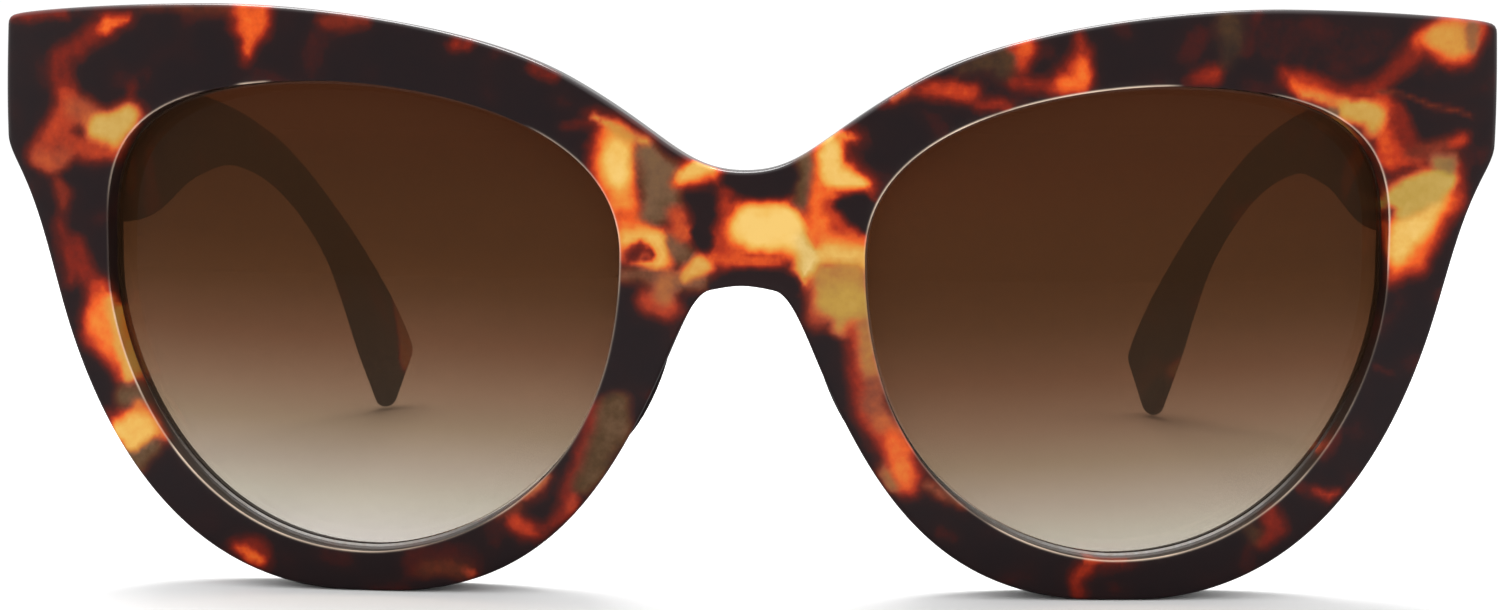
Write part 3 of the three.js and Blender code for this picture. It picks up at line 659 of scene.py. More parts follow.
class Nodes:
    """The node tree of a material or a world, with short calls to add nodes."""

    def __init__(self, owner, output="ShaderNodeOutputMaterial"):
        owner.use_nodes = True
        self.owner = owner
        self.tree = owner.node_tree
        self.tree.nodes.clear()
        self.output = self.add(output)

    def add(self, kind, inputs=(), **settings):
        """A node with its settings. Each input is a number, a colour or another node's output."""
        node = self.tree.nodes.new(kind)
        for key, value in settings.items():
            setattr(node, key, value)
        for key, value in dict(inputs).items():
            if isinstance(value, bpy.types.NodeSocket):
                self.tree.links.new(value, node.inputs[key])
            else:
                node.inputs[key].default_value = value
        return node

    def shown(self, shader):
        """Sends a shader to the output, and hands back the material or world."""
        self.tree.links.new(shader, self.output.inputs["Surface"])
        return self.owner

    def attribute(self, name):
        return self.add("ShaderNodeAttribute", attribute_name=name).outputs["Fac"]

    def noise(self, scale, detail=3.0, roughness=0.5, stretch=(1, 1, 1)):
        coordinates = self.add("ShaderNodeTexCoord").outputs["Object"]
        mapping = self.add("ShaderNodeMapping", {"Vector": coordinates, "Scale": stretch})
        inputs = {"Vector": mapping.outputs[0], "Scale": scale, "Detail": detail, "Roughness": roughness}
        return self.add("ShaderNodeTexNoise", inputs).outputs["Fac"]

    def math(self, operation, a, b, clamp=False):
        return self.add("ShaderNodeMath", {0: a, 1: b}, operation=operation, use_clamp=clamp).outputs[0]

    def span(self, value, low, high, to_low, to_high, curve="LINEAR"):
        inputs = enumerate((value, low, high, to_low, to_high))
        return self.add("ShaderNodeMapRange", inputs, interpolation_type=curve).outputs["Result"]

    def ramp(self, value, stops, gain=1.0):
        node = self.add("ShaderNodeValToRGB", {"Fac": value})
        elements = node.color_ramp.elements
        while len(elements) < len(stops):
            elements.new(0.5)
        for element, (position, colour) in zip(elements, stops):
            element.position = position
            element.color = (*[gain * channel for channel in srgb(*colour)[:3]], 1.0)
        return node.outputs["Color"]

    def mix(self, factor, a, b, blend="MIX"):
        inputs = {"Factor": factor, "A": a, "B": b}
        return self.add("ShaderNodeMix", inputs, data_type="RGBA", blend_type=blend).outputs["Result"]

    def bump(self, height, strength, distance):
        inputs = {"Height": height, "Strength": strength, "Distance": distance}
        return self.add("ShaderNodeBump", inputs).outputs["Normal"]

    def shader(self, kind, inputs):
        return self.add("ShaderNode" + kind, inputs).outputs[0]

    def mix_shaders(self, factor, a, b):
        return self.shader("MixShader", {0: factor, 1: a, 2: b})


WARM_STOPS = [
    (0.0, (31, 25, 28)),
    (0.14, (42, 25, 26)),
    (0.26, (84, 22, 14)),
    (0.36, (128, 27, 6)),
    (0.46, (188, 50, 6)),
    (0.56, (236, 90, 16)),
    (0.66, (238, 131, 40)),
    (0.78, (238, 162, 64)),
    (0.88, (239, 184, 84)),
    (1.0, (243, 199, 108)),
]
PALE_STOPS = [
    (0.0, (32, 26, 27)),
    (0.2, (50, 38, 30)),
    (0.31, (86, 60, 32)),
    (0.4, (116, 84, 58)),
    (0.55, (146, 110, 58)),
    (0.7, (180, 146, 60)),
    (0.84, (198, 164, 86)),
    (1.0, (240, 210, 140)),
]
# The colour of the painted highlight on the openings' edges.
EDGE_HIGHLIGHT_COLOUR = (244, 220, 196)
# The stops are colours as seen under the studio light, which is a little brighter than 1.
LIGHT_ON_FRONT = 1.2


def acetate():
    """Polished tortoise acetate: dark base, amber strokes with ragged fine edges, a painted highlight on the
    openings' edges, a clear gloss on top.
    """
    nodes = Nodes(bpy.data.materials.new("Acetate.tortoise"))
    glow = nodes.attribute("glow")
    cloud = nodes.span(nodes.noise(260, 4, 0.6), 0.3, 0.7, -0.04, 0.04)
    grain = nodes.span(nodes.noise(1500, 3, 0.6), 0.3, 0.7, -0.02, 0.02)
    shaped = nodes.math("MULTIPLY", nodes.math("ADD", cloud, grain), nodes.span(glow, 0, 0.3, 0.3, 1))
    level = nodes.math("ADD", glow, shaped, clamp=True)
    warm = nodes.ramp(level, WARM_STOPS, 1 / LIGHT_ON_FRONT)
    faded = nodes.ramp(level, PALE_STOPS, 1 / LIGHT_ON_FRONT)
    colour = nodes.mix(nodes.attribute("pale"), warm, faded)
    # The painted highlight along the openings' edges, made patchy by a noise.
    patchy = nodes.span(nodes.noise(160, 2, 0.5), 0.35, 0.65, 0.6, 1.0)
    lit = nodes.math("MULTIPLY", nodes.attribute("arris"), patchy)
    return nodes.shown(nodes.shader("BsdfPrincipled", {
        "Base Color": nodes.mix(lit, colour, srgb(*EDGE_HIGHLIGHT_COLOUR)),
        "Roughness": 0.3,
        "IOR": 1.48,
        "Specular IOR Level": 0.25,
        "Coat Weight": 0.7,
        "Coat Roughness": 0.06,
        "Coat IOR": 1.45,
        "Normal": nodes.bump(nodes.noise(90, 2, 0.4), 0.12, 0.0006),
    }))


# Shares of a lens's height: how far the tint's fade leans towards the outer side, how much lower it reaches
# in the wearer's left lens and how much less low in the right one, and how much lower it reaches in both.
TINT_LEAN, TINT_DEEPER, TINT_SHIFT = 0.045, 0.028, 0.015

# What one face of the lens passes, and the tint's own faint colour, from the lowest point to the highest.
LENS_STOPS = [
    (0.01, (213, 210, 206)),
    (0.10, (199, 195, 186)),
    (0.18, (185, 176, 166)),
    (0.26, (170, 157, 142)),
    (0.34, (158, 139, 124)),
    (0.44, (140, 115, 98)),
    (0.55, (121, 96, 76)),
    (0.65, (112, 86, 66)),
    (0.75, (114, 85, 64)),
    (0.86, (122, 86, 64)),
    (1.00, (126, 89, 67)),
]
LENS_BODY_STOPS = [
    (0.0, (196, 190, 180)),
    (0.35, (186, 150, 118)),
    (0.6, (184, 130, 88)),
    (1.0, (184, 130, 88)),
]
# The ground edge's frosted white, which near the bottom of each opening is also a painted highlight.
GROUND_AND_HIGHLIGHT_STOPS = [(0.3, (240, 230, 220)), (0.7, (253, 250, 246))]
DARK_LINE_COLOUR = (104, 84, 66)


def lens_material():
    """A resin lens with a brown tint that fades out downwards. Each face holds half of the tint."""
    nodes = Nodes(bpy.data.materials.new("Lens.tint"))
    haze = nodes.span(nodes.noise(30, 2, 0.5), 0.3, 0.7, -0.006, 0.006)
    level = nodes.math("ADD", nodes.attribute("height"), haze, clamp=True)
    tint = nodes.mix(nodes.attribute("line"), nodes.ramp(level, LENS_STOPS), srgb(*DARK_LINE_COLOUR))
    through = nodes.shader("BsdfTransparent", {"Color": tint})
    body = nodes.shader("BsdfDiffuse", {"Color": nodes.ramp(level, LENS_BODY_STOPS)})
    tinted = nodes.mix_shaders(0.05, through, body)
    gloss = nodes.shader("BsdfGlossy", {"Roughness": 0.03})
    facing = nodes.add("ShaderNodeLayerWeight", {"Blend": 0.5}).outputs["Facing"]
    grazing = nodes.math("POWER", facing, 5.0)
    polished = nodes.mix_shaders(nodes.span(grazing, 0, 1, 0.028, 1.0), tinted, gloss)
    # The ground edge's frosted white, with a painted highlight on the face where the light finds the edge.
    ground = nodes.shader("BsdfDiffuse", {"Color": nodes.ramp(nodes.noise(1800, 2, 0.5), GROUND_AND_HIGHLIGHT_STOPS)})
    edge = nodes.math("MULTIPLY", nodes.attribute("ground"), 0.95)
    return nodes.shown(nodes.mix_shaders(edge, polished, ground))


def metal(name, colour, roughness, brushed=(1, 1, 1)):
    """Small turned or plated metal parts with fine tool marks."""
    nodes = Nodes(bpy.data.materials.new(name))
    marks = nodes.noise(2600, 4, 0.6, stretch=brushed)
    tone = nodes.span(marks, 0.3, 0.7, 0.86, 1.06)
    grey = nodes.shader("CombineColor", {0: tone, 1: tone, 2: tone})
    return nodes.shown(nodes.shader("BsdfPrincipled", {
        "Base Color": nodes.mix(1.0, srgb(*colour), grey, blend="MULTIPLY"),
        "Metallic": 1.0,
        "Roughness": nodes.span(marks, 0.3, 0.7, roughness * 0.8, roughness * 1.25),
        "Normal": nodes.bump(marks, 0.2, 0.00004),
    }))


ACETATE = acetate()
LENS = lens_material()
PLATED = metal("Metal.plated", (232, 222, 202), 0.3, (1, 1, 6))
STEEL = metal("Metal.steel", (222, 222, 220), 0.26)


def finish_piece(obj, name, body, node, material, angle=30):
    """Names a piece, shades it, gives it its material, ties it to its CAD body and hides the CAD node that it
    stands for.

    Edges where faces meet at more than the angle are sharp.
    """
    obj.name = name
    obj.data.name = name
    obj.data.materials.clear()
    obj.data.materials.append(material)
    obj.data.shade_smooth()
    obj.data.set_sharp_from_angle(angle=math.radians(angle))
    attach(obj, body)
    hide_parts(node)


# ---- Front frame ----

def rounding(radius, steps=7):
    """(inset, depth) pairs round a quarter turn, from the face to the wall."""
    turns = [math.pi / 2 * i / steps for i in range(steps + 1)]
    return [(radius * (1 - math.sin(a)), radius * (1 - math.cos(a))) for a in turns]


def wall_rings(loop, side, front_profile, middle, back_profile):
    """Rings of points down a wall. side is -1 where material lies inside the loop, and 1 outside it.

    Profile rows are (inset, depth) from the front's two faces, and middle rows (inset, surface, depth).
    """
    rows = [(inset, front_face, depth) for inset, depth in front_profile]
    rows += middle
    rows += [(inset, back_face, -depth) for inset, depth in reversed(back_profile)]
    normal = outward(loop)
    rings = []
    for inset, surface, depth in rows:
        x, z = (loop + side * normal * inset).T
        rings.append(np.stack([x, surface(x, z) + depth, z], axis=1))
    return rings


def in_face(points, loops):
    """Whether points lie inside the first loop and outside the others, which are its holes."""
    outer, *holes = [is_inside(*points.T, loop) for loop in loops]
    return outer & ~np.any(holes, axis=0)


def filled_face(loops, surface, spacing=0.5):
    """Triangles between an outer loop and its holes, on a surface y = surface(x, z)."""
    vertices, edges = [], []
    for loop in loops:
        start = len(vertices)
        vertices.extend(Vector(point) for point in loop)
        edges.extend((start + i, start + (i + 1) % len(loop)) for i in range(len(loop)))
    distance = nearest_among(vertices)
    low, high = loops[0].min(axis=0), loops[0].max(axis=0)
    grid = []
    for i, z in enumerate(np.arange(low[1], high[1], spacing * math.sqrt(3) / 2)):
        for x in np.arange(low[0] + (i % 2) * spacing / 2, high[0], spacing):
            grid.append((x, z))
    grid = np.array(grid)
    for point in grid[in_face(grid, loops)]:
        if distance(*point) > spacing * 0.6:
            vertices.append(Vector(point))
    points, _, triangles, *_ = delaunay_2d_cdt(vertices, edges, [], 0, 1e-6)
    points, triangles = np.array([tuple(p) for p in points]), np.array(triangles)
    triangles = triangles[in_face(points[triangles].mean(axis=1), loops)]
    x, z = points.T
    return np.stack([x, surface(x, z), z], axis=1), triangles


def front_shell():
    """The front as one closed mesh: the outer wall, the openings with their grooves, and both faces."""
    eye = opening_outline(OUTLINE_STEP)
    outer_round = rounding(0.5)
    eye_round = [(0.26, 0), *rounding(0.16, 5)]
    chamfer = [(1.5, 0), (1.38, 0.04), (0.08, 1.42), (0, 1.52)]
    groove = LENS_BITE + 0.2 + RIM_LAP
    seat = [
        (0, front_face, 0.22),
        (0, lens_face, -0.02),
        (groove, lens_face, 0.3),
        (groove, lens_face, LENS_THICKNESS - 0.3),
        (0, lens_face, LENS_THICKNESS + 0.12),
    ]
    walls = [wall_rings(front_outline(), -1, outer_round, [], outer_round)]
    for loop in (eye, (eye * np.array([-1, 1]))[::-1]):
        walls.append(wall_rings(loop, 1, eye_round, seat, chamfer))

    parts = []
    for rings in walls:
        parts.append((np.vstack(rings), rings_to_faces(len(rings), len(rings[0]), closed_ends=False)))
    for end, surface in ((0, front_face), (-1, back_face)):
        parts.append(filled_face([rings[end][:, [0, 2]] for rings in walls], surface))
    faces, start = [], 0
    for part_points, part_faces in parts:
        faces.extend((np.array(part_faces) + start).tolist())
        start += len(part_points)
    return make_object("front", np.vstack([part_points for part_points, _ in parts]), faces)


def front_frame():
    obj = front_shell()
    gap = POCKET_GAP
    low, high = barrel_span(0, 4)
    cutters = []
    for sign in SIDES.values():
        cutters.append(block(
            (FRONT_LEAF_X[0] - gap, LUG_FACE - LEAF_THICKNESS - gap, HINGE_Z - FRONT_LEAF_HALF - gap),
            (FRONT_LEAF_X[1] + gap, LUG_FACE + 1, HINGE_Z + FRONT_LEAF_HALF + gap),
            sign,
        ))
        cutters.append(hinge_cylinder(sign, BARREL_RADIUS + gap, low - gap, high + HEAD_ROOM, 48))
    combine(obj, cutters, "DIFFERENCE")
    paint_front(obj)
    paint_edge_highlight(obj)
    finish_piece(obj, "Front.acetate", "front", "front_frame", ACETATE, 50)


# ---- Lenses ----

def lens_rings(loop):
    """Rings from the middle of a lens's face, over its edge to the middle of its back.

    Each is its points across and up, its depth behind the lens's face, and its marks: as ground edge with a
    painted highlight where the light finds it, as ground edge all round, and as dark line.
    """
    normal = outward(loop)
    centre = loop.mean(axis=0)
    edge = loop + normal * LENS_BITE
    rim = loop + normal * (LENS_BITE - LENS_BEVEL)
    inner = loop - normal * (RIM_LAP + 0.4)
    plain, seen, hidden, dark = (0, 0, 0), (1, 0, 0), (0, 1, 0), (0, 0, 1)
    rings = [(centre + (inner - centre) * share, 0, plain) for share in np.linspace(0.02, 1, 36)]
    for reach, marks in [(0.35, dark), (0.27, dark), (0.23, seen), (-0.05, seen), (-0.1, plain)]:
        rings.append((loop - normal * (RIM_LAP + reach), 0, marks))
    rings.append((rim, 0, hidden))
    rings.append((edge, LENS_BEVEL, hidden))
    rings.append((edge, LENS_THICKNESS - LENS_BEVEL, hidden))
    rings.append((rim, LENS_THICKNESS, hidden))
    for share in [0.996, *np.linspace(0.96, 0.02, 34)]:
        rings.append((centre + (rim - centre) * share, LENS_THICKNESS, plain))
    return rings


def lens(side, sign):
    loop = lens_outline(LENS_STEP)
    rings = lens_rings(loop)
    points = [np.stack([at[:, 0], lens_face(*at.T) + depth, at[:, 1]], axis=1) for at, depth, _ in rings]
    obj = make_object("lens", mirror_points(np.vstack(points), sign), rings_to_faces(len(rings), len(loop)))
    x, _, z = vertex_points(obj)
    low, high = [corner.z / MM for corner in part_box(f"lens_{side}")]
    lean = TINT_LEAN * (np.abs(x) - EYE_X) / EYE_X
    # Where the light finds the bottom of the lens's edge, for its painted highlight and its dark line.
    arc = round_eye(np.abs(x), z, LENS_EDGE_ARC)
    seen, hidden, dark = np.repeat([marks for _, _, marks in rings], len(loop), axis=0).T
    store(
        obj,
        height=(z - low) / (high - low) - lean + sign * TINT_DEEPER + TINT_SHIFT,
        ground=np.maximum(seen * arc, hidden),
        line=dark * np.minimum(arc * 2, 1),
    )
    finish_piece(obj, f"Lens.{side}", "front", f"lens_{side}", LENS)


# ---- Nose pads ----

def nose_pad(side, sign):
    """A smooth acetate pad bonded behind the inner rim, leaning outwards as it goes back."""
    root = front_face(PAD_X, PAD_Z) + FRONT_THICKNESS - PAD_OVERLAP
    full = PAD_REACH + POCKET_GAP + PAD_OVERLAP
    points, rings, sides = [], 18, 40
    for turn in np.linspace(0, 1, rings):
        back = full * math.sin(turn * math.pi / 2)
        size = PAD_TIP_SHARE + (1 - PAD_TIP_SHARE) * math.cos(turn * math.pi / 2) ** 0.5
        for i in range(sides):
            angle = 2 * math.pi * i / sides
            along = PAD_HALF_LENGTH * size * math.cos(angle)
            across = PAD_HALF_WIDTH * size * math.sin(angle)
            x = PAD_X - along * math.sin(PAD_LEAN) + across * math.cos(PAD_LEAN) + PAD_SPLAY * back
            z = PAD_Z + along * math.cos(PAD_LEAN) + across * math.sin(PAD_LEAN)
            points.append((x, root + back, z))
    obj = make_object("pad", mirror_points(points, sign), rings_to_faces(rings, sides))
    paint_front(obj)
    finish_piece(obj, f"Nose.pad.{side}", "front", f"nose_pad_{side}", ACETATE, 60)


# ---- Temples ----

# Lower and upper edges in side view as (y, z), paired from the butt to the slanted tip.
TEMPLE_EDGES = [
    ((TEMPLE_BUTT, 35.3), (TEMPLE_BUTT, 54.8)),
    ((26, 34.6), (27, 53.6)),
    ((40, 34.6), (42, 51.4)),
    ((56, 37.9), (58, 48.9)),
    ((74, 39.3), (76, 46.8)),
    ((87, 38), (90.5, 43.4)),
    ((97.5, 34.9), (101.5, 38.9)),
    ((106.5, 30.2), (111.5, 33.2)),
    ((114.3, 24), (121, 26.6)),
    ((119.8, 16.8), (130, 19)),
    ((124.6, 9.3), (136, 12.6)),
    ((131.3, 0), (TEMPLE_DEPTH, 9)),
]
LOWER_KNOTS, UPPER_KNOTS = np.array(TEMPLE_EDGES, dtype=float).transpose(1, 0, 2)

# How much of the edges' parameter a millimetre takes at each end, and the roundings of both ends.
BUTT_STEP, TIP_STEP = 0.0072, 0.0095
BUTT_ROUND, TIP_ROUND, TIP_TRIMS = 0.35, 1.4, (0.4, 3.0)


def spline_point(knots, t):
    """A point on a Catmull-Rom curve through the knots, t from 0 to 1."""
    place_on = t * (len(knots) - 1)
    i = min(int(place_on), len(knots) - 2)
    w = place_on - i
    start, end = knots[i], knots[i + 1]
    v0 = (end - knots[max(i - 1, 0)]) / 2
    v1 = (knots[min(i + 2, len(knots) - 1)] - start) / 2
    cubic = 2 * start - 2 * end + v0 + v1
    square = 3 * end - 3 * start - 2 * v0 - v1
    return cubic * w**3 + square * w**2 + v0 * w + start


def temple_face(y):
    curl = np.maximum(0, np.asarray(y) - TEMPLE_STRAIGHT) / CURL_REACH
    return TEMPLE_INNER - CURL_INWARD * curl**CURL_POWER


def rounded_section(half_height, half_thickness, radius, long_points=30, corner_points=7):
    """A rounded rectangle's points as (along, across), evenly matched from section to section."""
    ring = []
    for corner, (sign_a, sign_b) in enumerate([(1, 1), (-1, 1), (-1, -1), (1, -1)]):
        start = sign_a * (half_height - radius)
        for i in range(corner_points):
            angle = math.pi / 2 * (corner + i / (corner_points - 1))
            ring.append((
                start + radius * math.cos(angle),
                sign_b * (half_thickness - radius) + radius * math.sin(angle),
            ))
        if corner in (0, 2):
            for k in range(1, long_points):
                ring.append((start - 2 * start * k / long_points, sign_b * half_thickness))
    return ring


def temple_section(t, inset=0.0, trims=(0.0, 0.0)):
    """One section's points. trims take a little off both ends, to round the tip in side view."""
    low, high = spline_point(LOWER_KNOTS, t), spline_point(UPPER_KNOTS, t)
    rise = (high - low) / np.linalg.norm(high - low)
    low, high = low + rise * trims[0], high - rise * trims[1]
    middle, half = (low + high) / 2, np.linalg.norm(high - low) / 2
    slim = smooth(middle[0], *TAPER_Y)
    thickness = BUTT_THICKNESS + (EAR_THICKNESS - BUTT_THICKNESS) * slim
    radius = max(min(TEMPLE_EDGE_RADIUS, thickness / 2 - inset - 0.02), 0.1)
    points = []
    for along, across in rounded_section(half - inset * 0.6, thickness / 2 - inset, radius):
        y, z = middle + along * rise
        points.append((temple_face(y) + thickness / 2 + across, y, z))
    return points


def quarter(radius, distance):
    """How far a rounded corner of this radius falls short, at a distance from its end."""
    return radius * (1 - math.sqrt(1 - (1 - min(distance / radius, 1)) ** 2))


def temple_strokes(seed):
    """Amber clouds along a temple, as strokes with nodes of (y, z, radius), painted in order."""
    chance = random.Random(seed)
    strokes = []
    clouds = 13
    for i in range(clouds):
        t = (i + chance.uniform(0.1, 0.9)) / clouds
        low, high = spline_point(LOWER_KNOTS, t), spline_point(UPPER_KNOTS, t)
        middle = low + (high - low) * chance.uniform(0.05, 0.95)
        heading = chance.uniform(-1.3, 0.4)
        along = np.array([math.cos(heading), math.sin(heading)])
        aside = np.array([-along[1], along[0]])
        size = min(np.linalg.norm(high - low) * 0.3, 3.4) * chance.uniform(0.7, 1.25)

        def trail(length, radius, shift=0.0):
            nodes = []
            for k in (-0.5, -0.17, 0.17, 0.5):
                at = middle + along * k * length + aside * (shift + chance.uniform(-0.6, 0.6) * radius)
                nodes.append((at[0], at[1], radius * chance.uniform(0.35, 1.1)))
            return nodes

        strokes.append((0.34, 0.1, 1.4, trail(size * 3.4, size * 0.75)))
        strokes.append((chance.uniform(0.44, 0.56), 0.05, 1.1, trail(size * 2.4, size * 0.62)))
        if chance.random() < 0.7:
            core = trail(size * 1.5, size * 0.5)
            wider = [(y, z, reach + 0.5) for y, z, reach in core]
            strokes.append((chance.uniform(0.62, 0.7), 0.1, 0.9, wider))
            strokes.append((chance.uniform(0.8, 0.96), chance.choice([0.1, 0.2, 0.4, 0.8]), 0.8, core))
        if chance.random() < 0.55:
            strokes.append((0.4, 1, 1.0, trail(size * 1.6, size * 0.4, size * 0.9)))
        if chance.random() < 0.5:
            strokes.append((0.14, 0, 1.0, trail(size * 2.4, size * 0.24, -size * 0.5)))
    return strokes


# An orange cloud at the tip of the wearer's right temple.
RIGHT_TIP_STROKE = (0.76, 0, 1.1, [(132.2, 16, 1.3), (135.2, 12, 2.3), (135, 8, 1.8)])


def temple_rings():
    """A temple's sections: close together where its two ends are rounded, and even between them."""
    rings = []
    for distance in (0, 0.03, 0.1, 0.2, BUTT_ROUND):
        rings.append(temple_section(distance * BUTT_STEP, quarter(BUTT_ROUND, distance)))
    ends = (BUTT_ROUND * BUTT_STEP, 1 - TIP_TRIMS[1] * TIP_STEP)
    rings.extend(temple_section(t) for t in np.linspace(*ends, 220)[1:-1])
    for share in np.linspace(1, 0, 26):
        distance = TIP_TRIMS[1] * share**2
        trims = [quarter(radius, distance) for radius in TIP_TRIMS]
        rings.append(temple_section(1 - distance * TIP_STEP, quarter(TIP_ROUND, distance), trims))
    return rings


def temple(side, sign):
    rings = temple_rings()
    points = mirror_points(np.vstack(rings), sign)
    obj = make_object("temple", points, rings_to_faces(len(rings), len(rings[0])))
    low, high = barrel_span(0, 4)
    recess = block(
        (TEMPLE_INNER - 1, TEMPLE_BUTT - 1, low - POCKET_GAP),
        (TEMPLE_INNER + LEAF_THICKNESS + POCKET_GAP, TEMPLE_LEAF_Y[1] + POCKET_GAP, high + POCKET_GAP),
        sign,
    )
    combine(obj, [recess], "DIFFERENCE")
    if side == "left":
        paint_temple(obj, temple_strokes(11), 140)
    else:
        paint_temple(obj, [*temple_strokes(5), RIGHT_TIP_STROKE], 129)
    finish_piece(obj, f"Temple.{side}", f"{side}_arm", f"temple_{side}", ACETATE, 50)


# ---- Hinges ----

def barrel_span(first, last):
    """The lowest and highest z of a run of the five barrels."""
    pitch = BARREL_HEIGHT + BARREL_GAP
    bottom = HINGE_Z - (5 * pitch - BARREL_GAP) / 2
    return bottom + first * pitch, bottom + last * pitch + BARREL_HEIGHT


def about_hinge(sign, profile, sides=40):
    """A body turned about the hinge's axis, from rows of (radius, z)."""
    return turned(profile, (sign * HINGE_X, HINGE_Y, 0), (0, 0, 1), sides)


def hinge_cylinder(sign, radius, low, high, sides=40):
    return about_hinge(sign, [(radius, low), (radius, high)], sides)


def bore(sign):
    return hinge_cylinder(sign, BORE_RADIUS, HINGE_Z - 10, HINGE_Z + 10)


def barrel(number, sign):
    low, high = barrel_span(number, number)
    return about_hinge(sign, [
        (BARREL_RADIUS - BARREL_EDGE, low),
        (BARREL_RADIUS, low + BARREL_EDGE),
        (BARREL_RADIUS, high - BARREL_EDGE),
        (BARREL_RADIUS - BARREL_EDGE, high),
    ], 48)


def screw_seat(centre, axis):
    """The countersunk hole that a fixing screw sits in."""
    return turned([(0.65, -4), (0.65, -0.5), (1.12, 0.0), (1.12, 1)], centre, axis, 40)


def front_screw_centre(sign, up):
    return sign * FRONT_SCREW_X, LUG_FACE, HINGE_Z + up * FRONT_SCREW_RISE


def front_leaf(side, sign):
    obj = block(
        (FRONT_LEAF_X[0], LUG_FACE - LEAF_THICKNESS, HINGE_Z - FRONT_LEAF_HALF),
        (FRONT_LEAF_X[1], LUG_FACE, HINGE_Z + FRONT_LEAF_HALF),
        sign, LEAF_BEVEL,
    )
    notches = []
    for number in (1, 3):
        low, high = barrel_span(number, number)
        radius = BARREL_RADIUS + BARREL_ROOM
        notches.append(hinge_cylinder(sign, radius, low - BARREL_GAP, high + BARREL_GAP))
    combine(obj, notches, "DIFFERENCE")
    combine(obj, [barrel(number, sign) for number in (0, 2, 4)], "UNION")
    top = barrel_span(4, 4)[1]
    head_room = hinge_cylinder(sign, HEAD_RADIUS + POCKET_GAP, top, top + HEAD_ROOM)
    seats = [screw_seat(front_screw_centre(sign, up), (0, 1, 0)) for up in (-1, 1)]
    combine(obj, [bore(sign), head_room, *seats], "DIFFERENCE")
    finish_piece(obj, f"Hinge.front.leaf.{side}", "front", f"hinge_front_leaf_{side}", PLATED)


def temple_leaf(side, sign):
    low, high = barrel_span(0, 4)
    obj = block(
        (TEMPLE_INNER, TEMPLE_LEAF_Y[0], low),
        (TEMPLE_INNER + LEAF_THICKNESS, TEMPLE_LEAF_Y[1], high),
        sign, LEAF_BEVEL,
    )
    knuckles = []
    for number in (1, 3):
        web_low, web_high = barrel_span(number, number)
        knuckles.append(barrel(number, sign))
        knuckles.append(block(
            (HINGE_X, TEMPLE_LEAF_Y[0], web_low + WEB_INSET),
            (TEMPLE_INNER + LEAF_THICKNESS / 2, TEMPLE_LEAF_Y[0] + WEB_DEPTH, web_high - WEB_INSET),
            sign,
        ))
    combine(obj, knuckles, "UNION")
    seats = [screw_seat((sign * TEMPLE_INNER, y, HINGE_Z), (-sign, 0, 0)) for y in TEMPLE_SCREWS_Y]
    combine(obj, [bore(sign), *seats], "DIFFERENCE")
    body, node = f"{side}_arm", f"hinge_temple_leaf_{side}"
    finish_piece(obj, f"Hinge.temple.leaf.{side}", body, node, PLATED)


def fixing_screw(name, body, node, centre, axis):
    """A countersunk screw with a cross recess, its head level with the leaf."""
    obj = turned([
        (0.12, -2.6), (0.3, -2.5), (0.48, -2.2), (0.5, -0.5), (0.97, -0.04), (0.9, 0), (0.3, 0.0),
    ], centre, axis, 48)
    axis, up = Vector(axis), Vector((0, 0, 1))
    half_length, half_width, deep = 0.62, 0.12, 0.28
    slots = []
    for along in (axis.cross(up), up):
        across = axis.cross(along)
        spans = ((-half_length, half_length), (-half_width, half_width), (-deep, 1.0))
        corners = [
            tuple(Vector(centre) + along * a + across * b + axis * c) for a, b, c in itertools.product(*spans)
        ]
        slots.append(make_object("slot", corners, BOX_FACES))
    combine(obj, slots, "DIFFERENCE")
    finish_piece(obj, name, body, node, STEEL)


def hinge_screw(side, sign):
    """A pin through all five barrels, with a slotted head on top."""
    bottom, top = barrel_span(0, 4)
    head = top + 0.05
    obj = about_hinge(sign, [
        (0.4, bottom), (PIN_RADIUS - 0.1, bottom), (PIN_RADIUS, bottom + 0.1), (PIN_RADIUS, head),
        (HEAD_RADIUS - 0.05, head), (HEAD_RADIUS, head + 0.05), (HEAD_RADIUS, head + 0.35),
        (HEAD_RADIUS - 0.08, head + 0.5), (1.0, head + 0.6), (0.4, head + 0.6),
    ], 48)
    x, half_slot = sign * HINGE_X, 0.15
    slot = block((x - 2, HINGE_Y - half_slot, head + 0.35), (x + 2, HINGE_Y + half_slot, head + 2))
    combine(obj, [slot], "DIFFERENCE")
    finish_piece(obj, f"Hinge.screw.{side}", "front", f"hinge_screw_{side}", STEEL)


# ---- Everything on one side ----

def build_side(side, sign):
    for build in (lens, nose_pad, temple, front_leaf, temple_leaf, hinge_screw):
        build(side, sign)
    for level, up in (("lower", -1), ("upper", 1)):
        node = f"front_leaf_screw_{level}_{side}"
        centre = front_screw_centre(sign, up)
        fixing_screw(f"Screw.front.{level}.{side}", "front", node, centre, (0, 1, 0))
    for level, y in zip(("near", "far"), TEMPLE_SCREWS_Y):
        node = f"temple_leaf_screw_{level}_{side}"
        centre = (sign * TEMPLE_INNER, y, HINGE_Z)
        fixing_screw(f"Screw.temple.{level}.{side}", f"{side}_arm", node, centre, (-sign, 0, 0))
    core = frame["nodes"][f"temple_core_{side}"]
    core.data.materials.clear()
    core.data.materials.append(STEEL)


front_frame()
for side_name, side_sign in SIDES.items():
    build_side(side_name, side_sign)


# ---- Floor, light and camera ----

SKY_LIGHT, SKY_SEEN = 1.1, 1.05


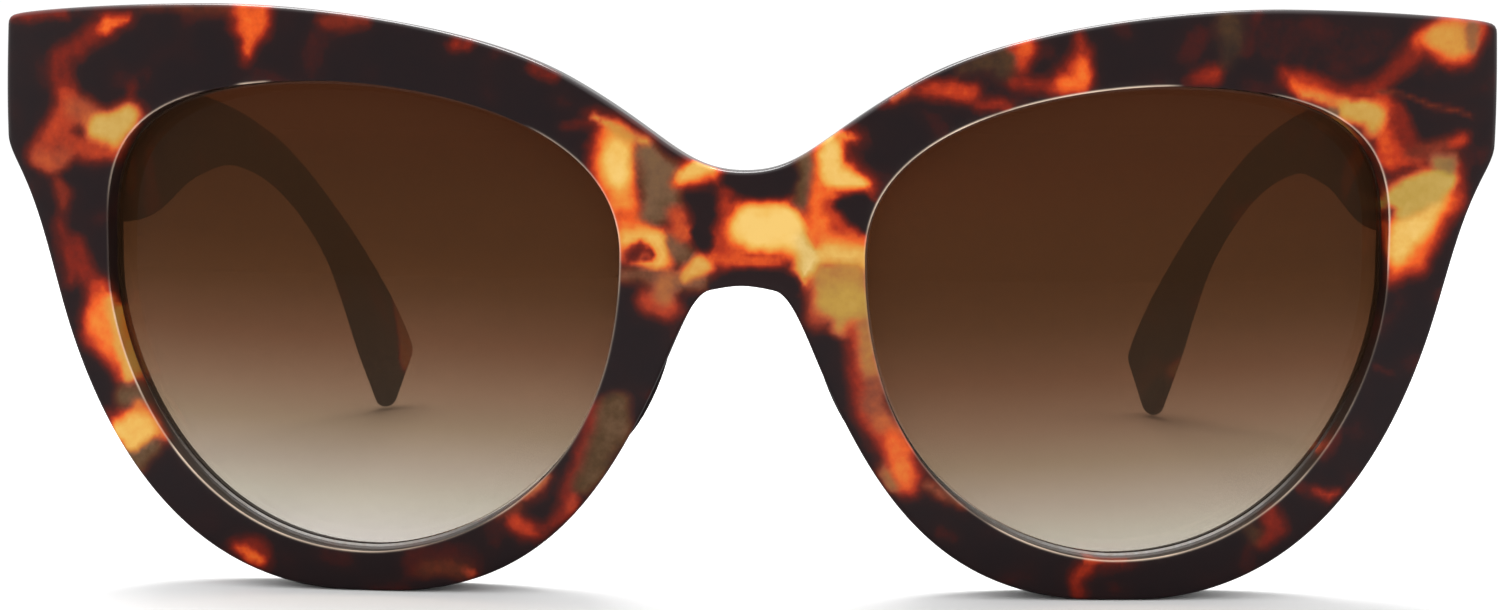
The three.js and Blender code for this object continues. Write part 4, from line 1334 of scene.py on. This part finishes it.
def floor():
    """White paper, which reflections see as grey."""
    sides, radius = 96, 3.0
    turns = [2 * math.pi * i / sides for i in range(sides)]
    mesh = bpy.data.meshes.new("Floor")
    ring = [(radius * math.cos(turn), radius * math.sin(turn), 0) for turn in turns]
    mesh.from_pydata(ring, [], [tuple(range(sides))])
    nodes = Nodes(bpy.data.materials.new("Floor.paper"))
    grain = nodes.noise(40, 3, 0.5)
    tones = []
    for dark, light in ((246, 249), (82, 84)):
        stops = [(0.3, (dark, dark, dark)), (0.7, (light, light, light))]
        tones.append(nodes.shader("BsdfDiffuse", {"Color": nodes.ramp(grain, stops)}))
    glossy_ray = nodes.add("ShaderNodeLightPath").outputs["Is Glossy Ray"]
    mesh.materials.append(nodes.shown(nodes.mix_shaders(glossy_ray, *tones)))
    add_object("Floor", mesh)


def overhead_light():
    """A wide soft light above and a little behind, turned to the middle of the object."""
    where = Vector((-0.08, 0.26, 0.95))
    data = bpy.data.lights.new("Overhead", "AREA")
    data.shape = "RECTANGLE"
    data.size, data.size_y = 0.7, 0.45
    data.energy = 10.6
    obj = add_object("Overhead", data)
    obj.location = where
    obj.rotation_mode = "QUATERNION"
    obj.rotation_quaternion = ((cad_low + cad_high) / 2 - where).to_track_quat("-Z", "Y")


def world():
    """White all round. Reflections see a dim room with a bright ceiling, so the dark acetate stays dark."""
    nodes = Nodes(bpy.data.worlds.new("Studio"), "ShaderNodeOutputWorld")
    path = nodes.add("ShaderNodeLightPath")
    direction = nodes.add("ShaderNodeTexCoord").outputs["Generated"]
    split = nodes.add("ShaderNodeSeparateXYZ", {0: direction})
    ceiling = nodes.span(split.outputs["Z"], 0.3, 0.95, 0.0, 0.7, "SMOOTHSTEP")
    walls = nodes.span(split.outputs["Y"], -0.85, -0.35, 0.08, 0.5, "SMOOTHSTEP")
    room = nodes.math("ADD", ceiling, walls)
    seen = nodes.math("MULTIPLY", path.outputs["Is Camera Ray"], SKY_SEEN - SKY_LIGHT)
    reflected = nodes.math("SUBTRACT", room, SKY_LIGHT)
    reflected = nodes.math("MULTIPLY", path.outputs["Is Glossy Ray"], reflected)
    total = nodes.math("ADD", nodes.math("ADD", seen, reflected), SKY_LIGHT)
    background = nodes.shader("Background", {"Color": (1.0, 1.0, 1.0, 1.0), "Strength": total})
    bpy.context.scene.world = nodes.shown(background)


def camera():
    """Level with the brow, a little to the wearer's left of straight ahead."""
    distance, height, aim_height = 0.2165, 0.0484, 0.0287
    turn, roll, sideways = math.radians(1.8), math.radians(0.4), 0.0008
    data = bpy.data.cameras.new("Camera")
    data.sensor_width = 36
    data.lens = 54.6
    data.clip_start = 0.01
    obj = add_object("Camera", data)
    spin = Matrix.Rotation(turn, 3, "Z")
    where = spin @ Vector((0, -distance, height))
    target = spin @ Vector((sideways, 0, aim_height))
    look = (target - where).to_track_quat("-Z", "Y").to_matrix() @ Matrix.Rotation(roll, 3, "Z")
    obj.matrix_world = Matrix.Translation(where + Vector((0, FRONT_Y, 0))) @ look.to_4x4()
    bpy.context.scene.camera = obj


floor()
world()
overhead_light()
camera()
bpy.context.scene.view_settings.view_transform = "Standard"
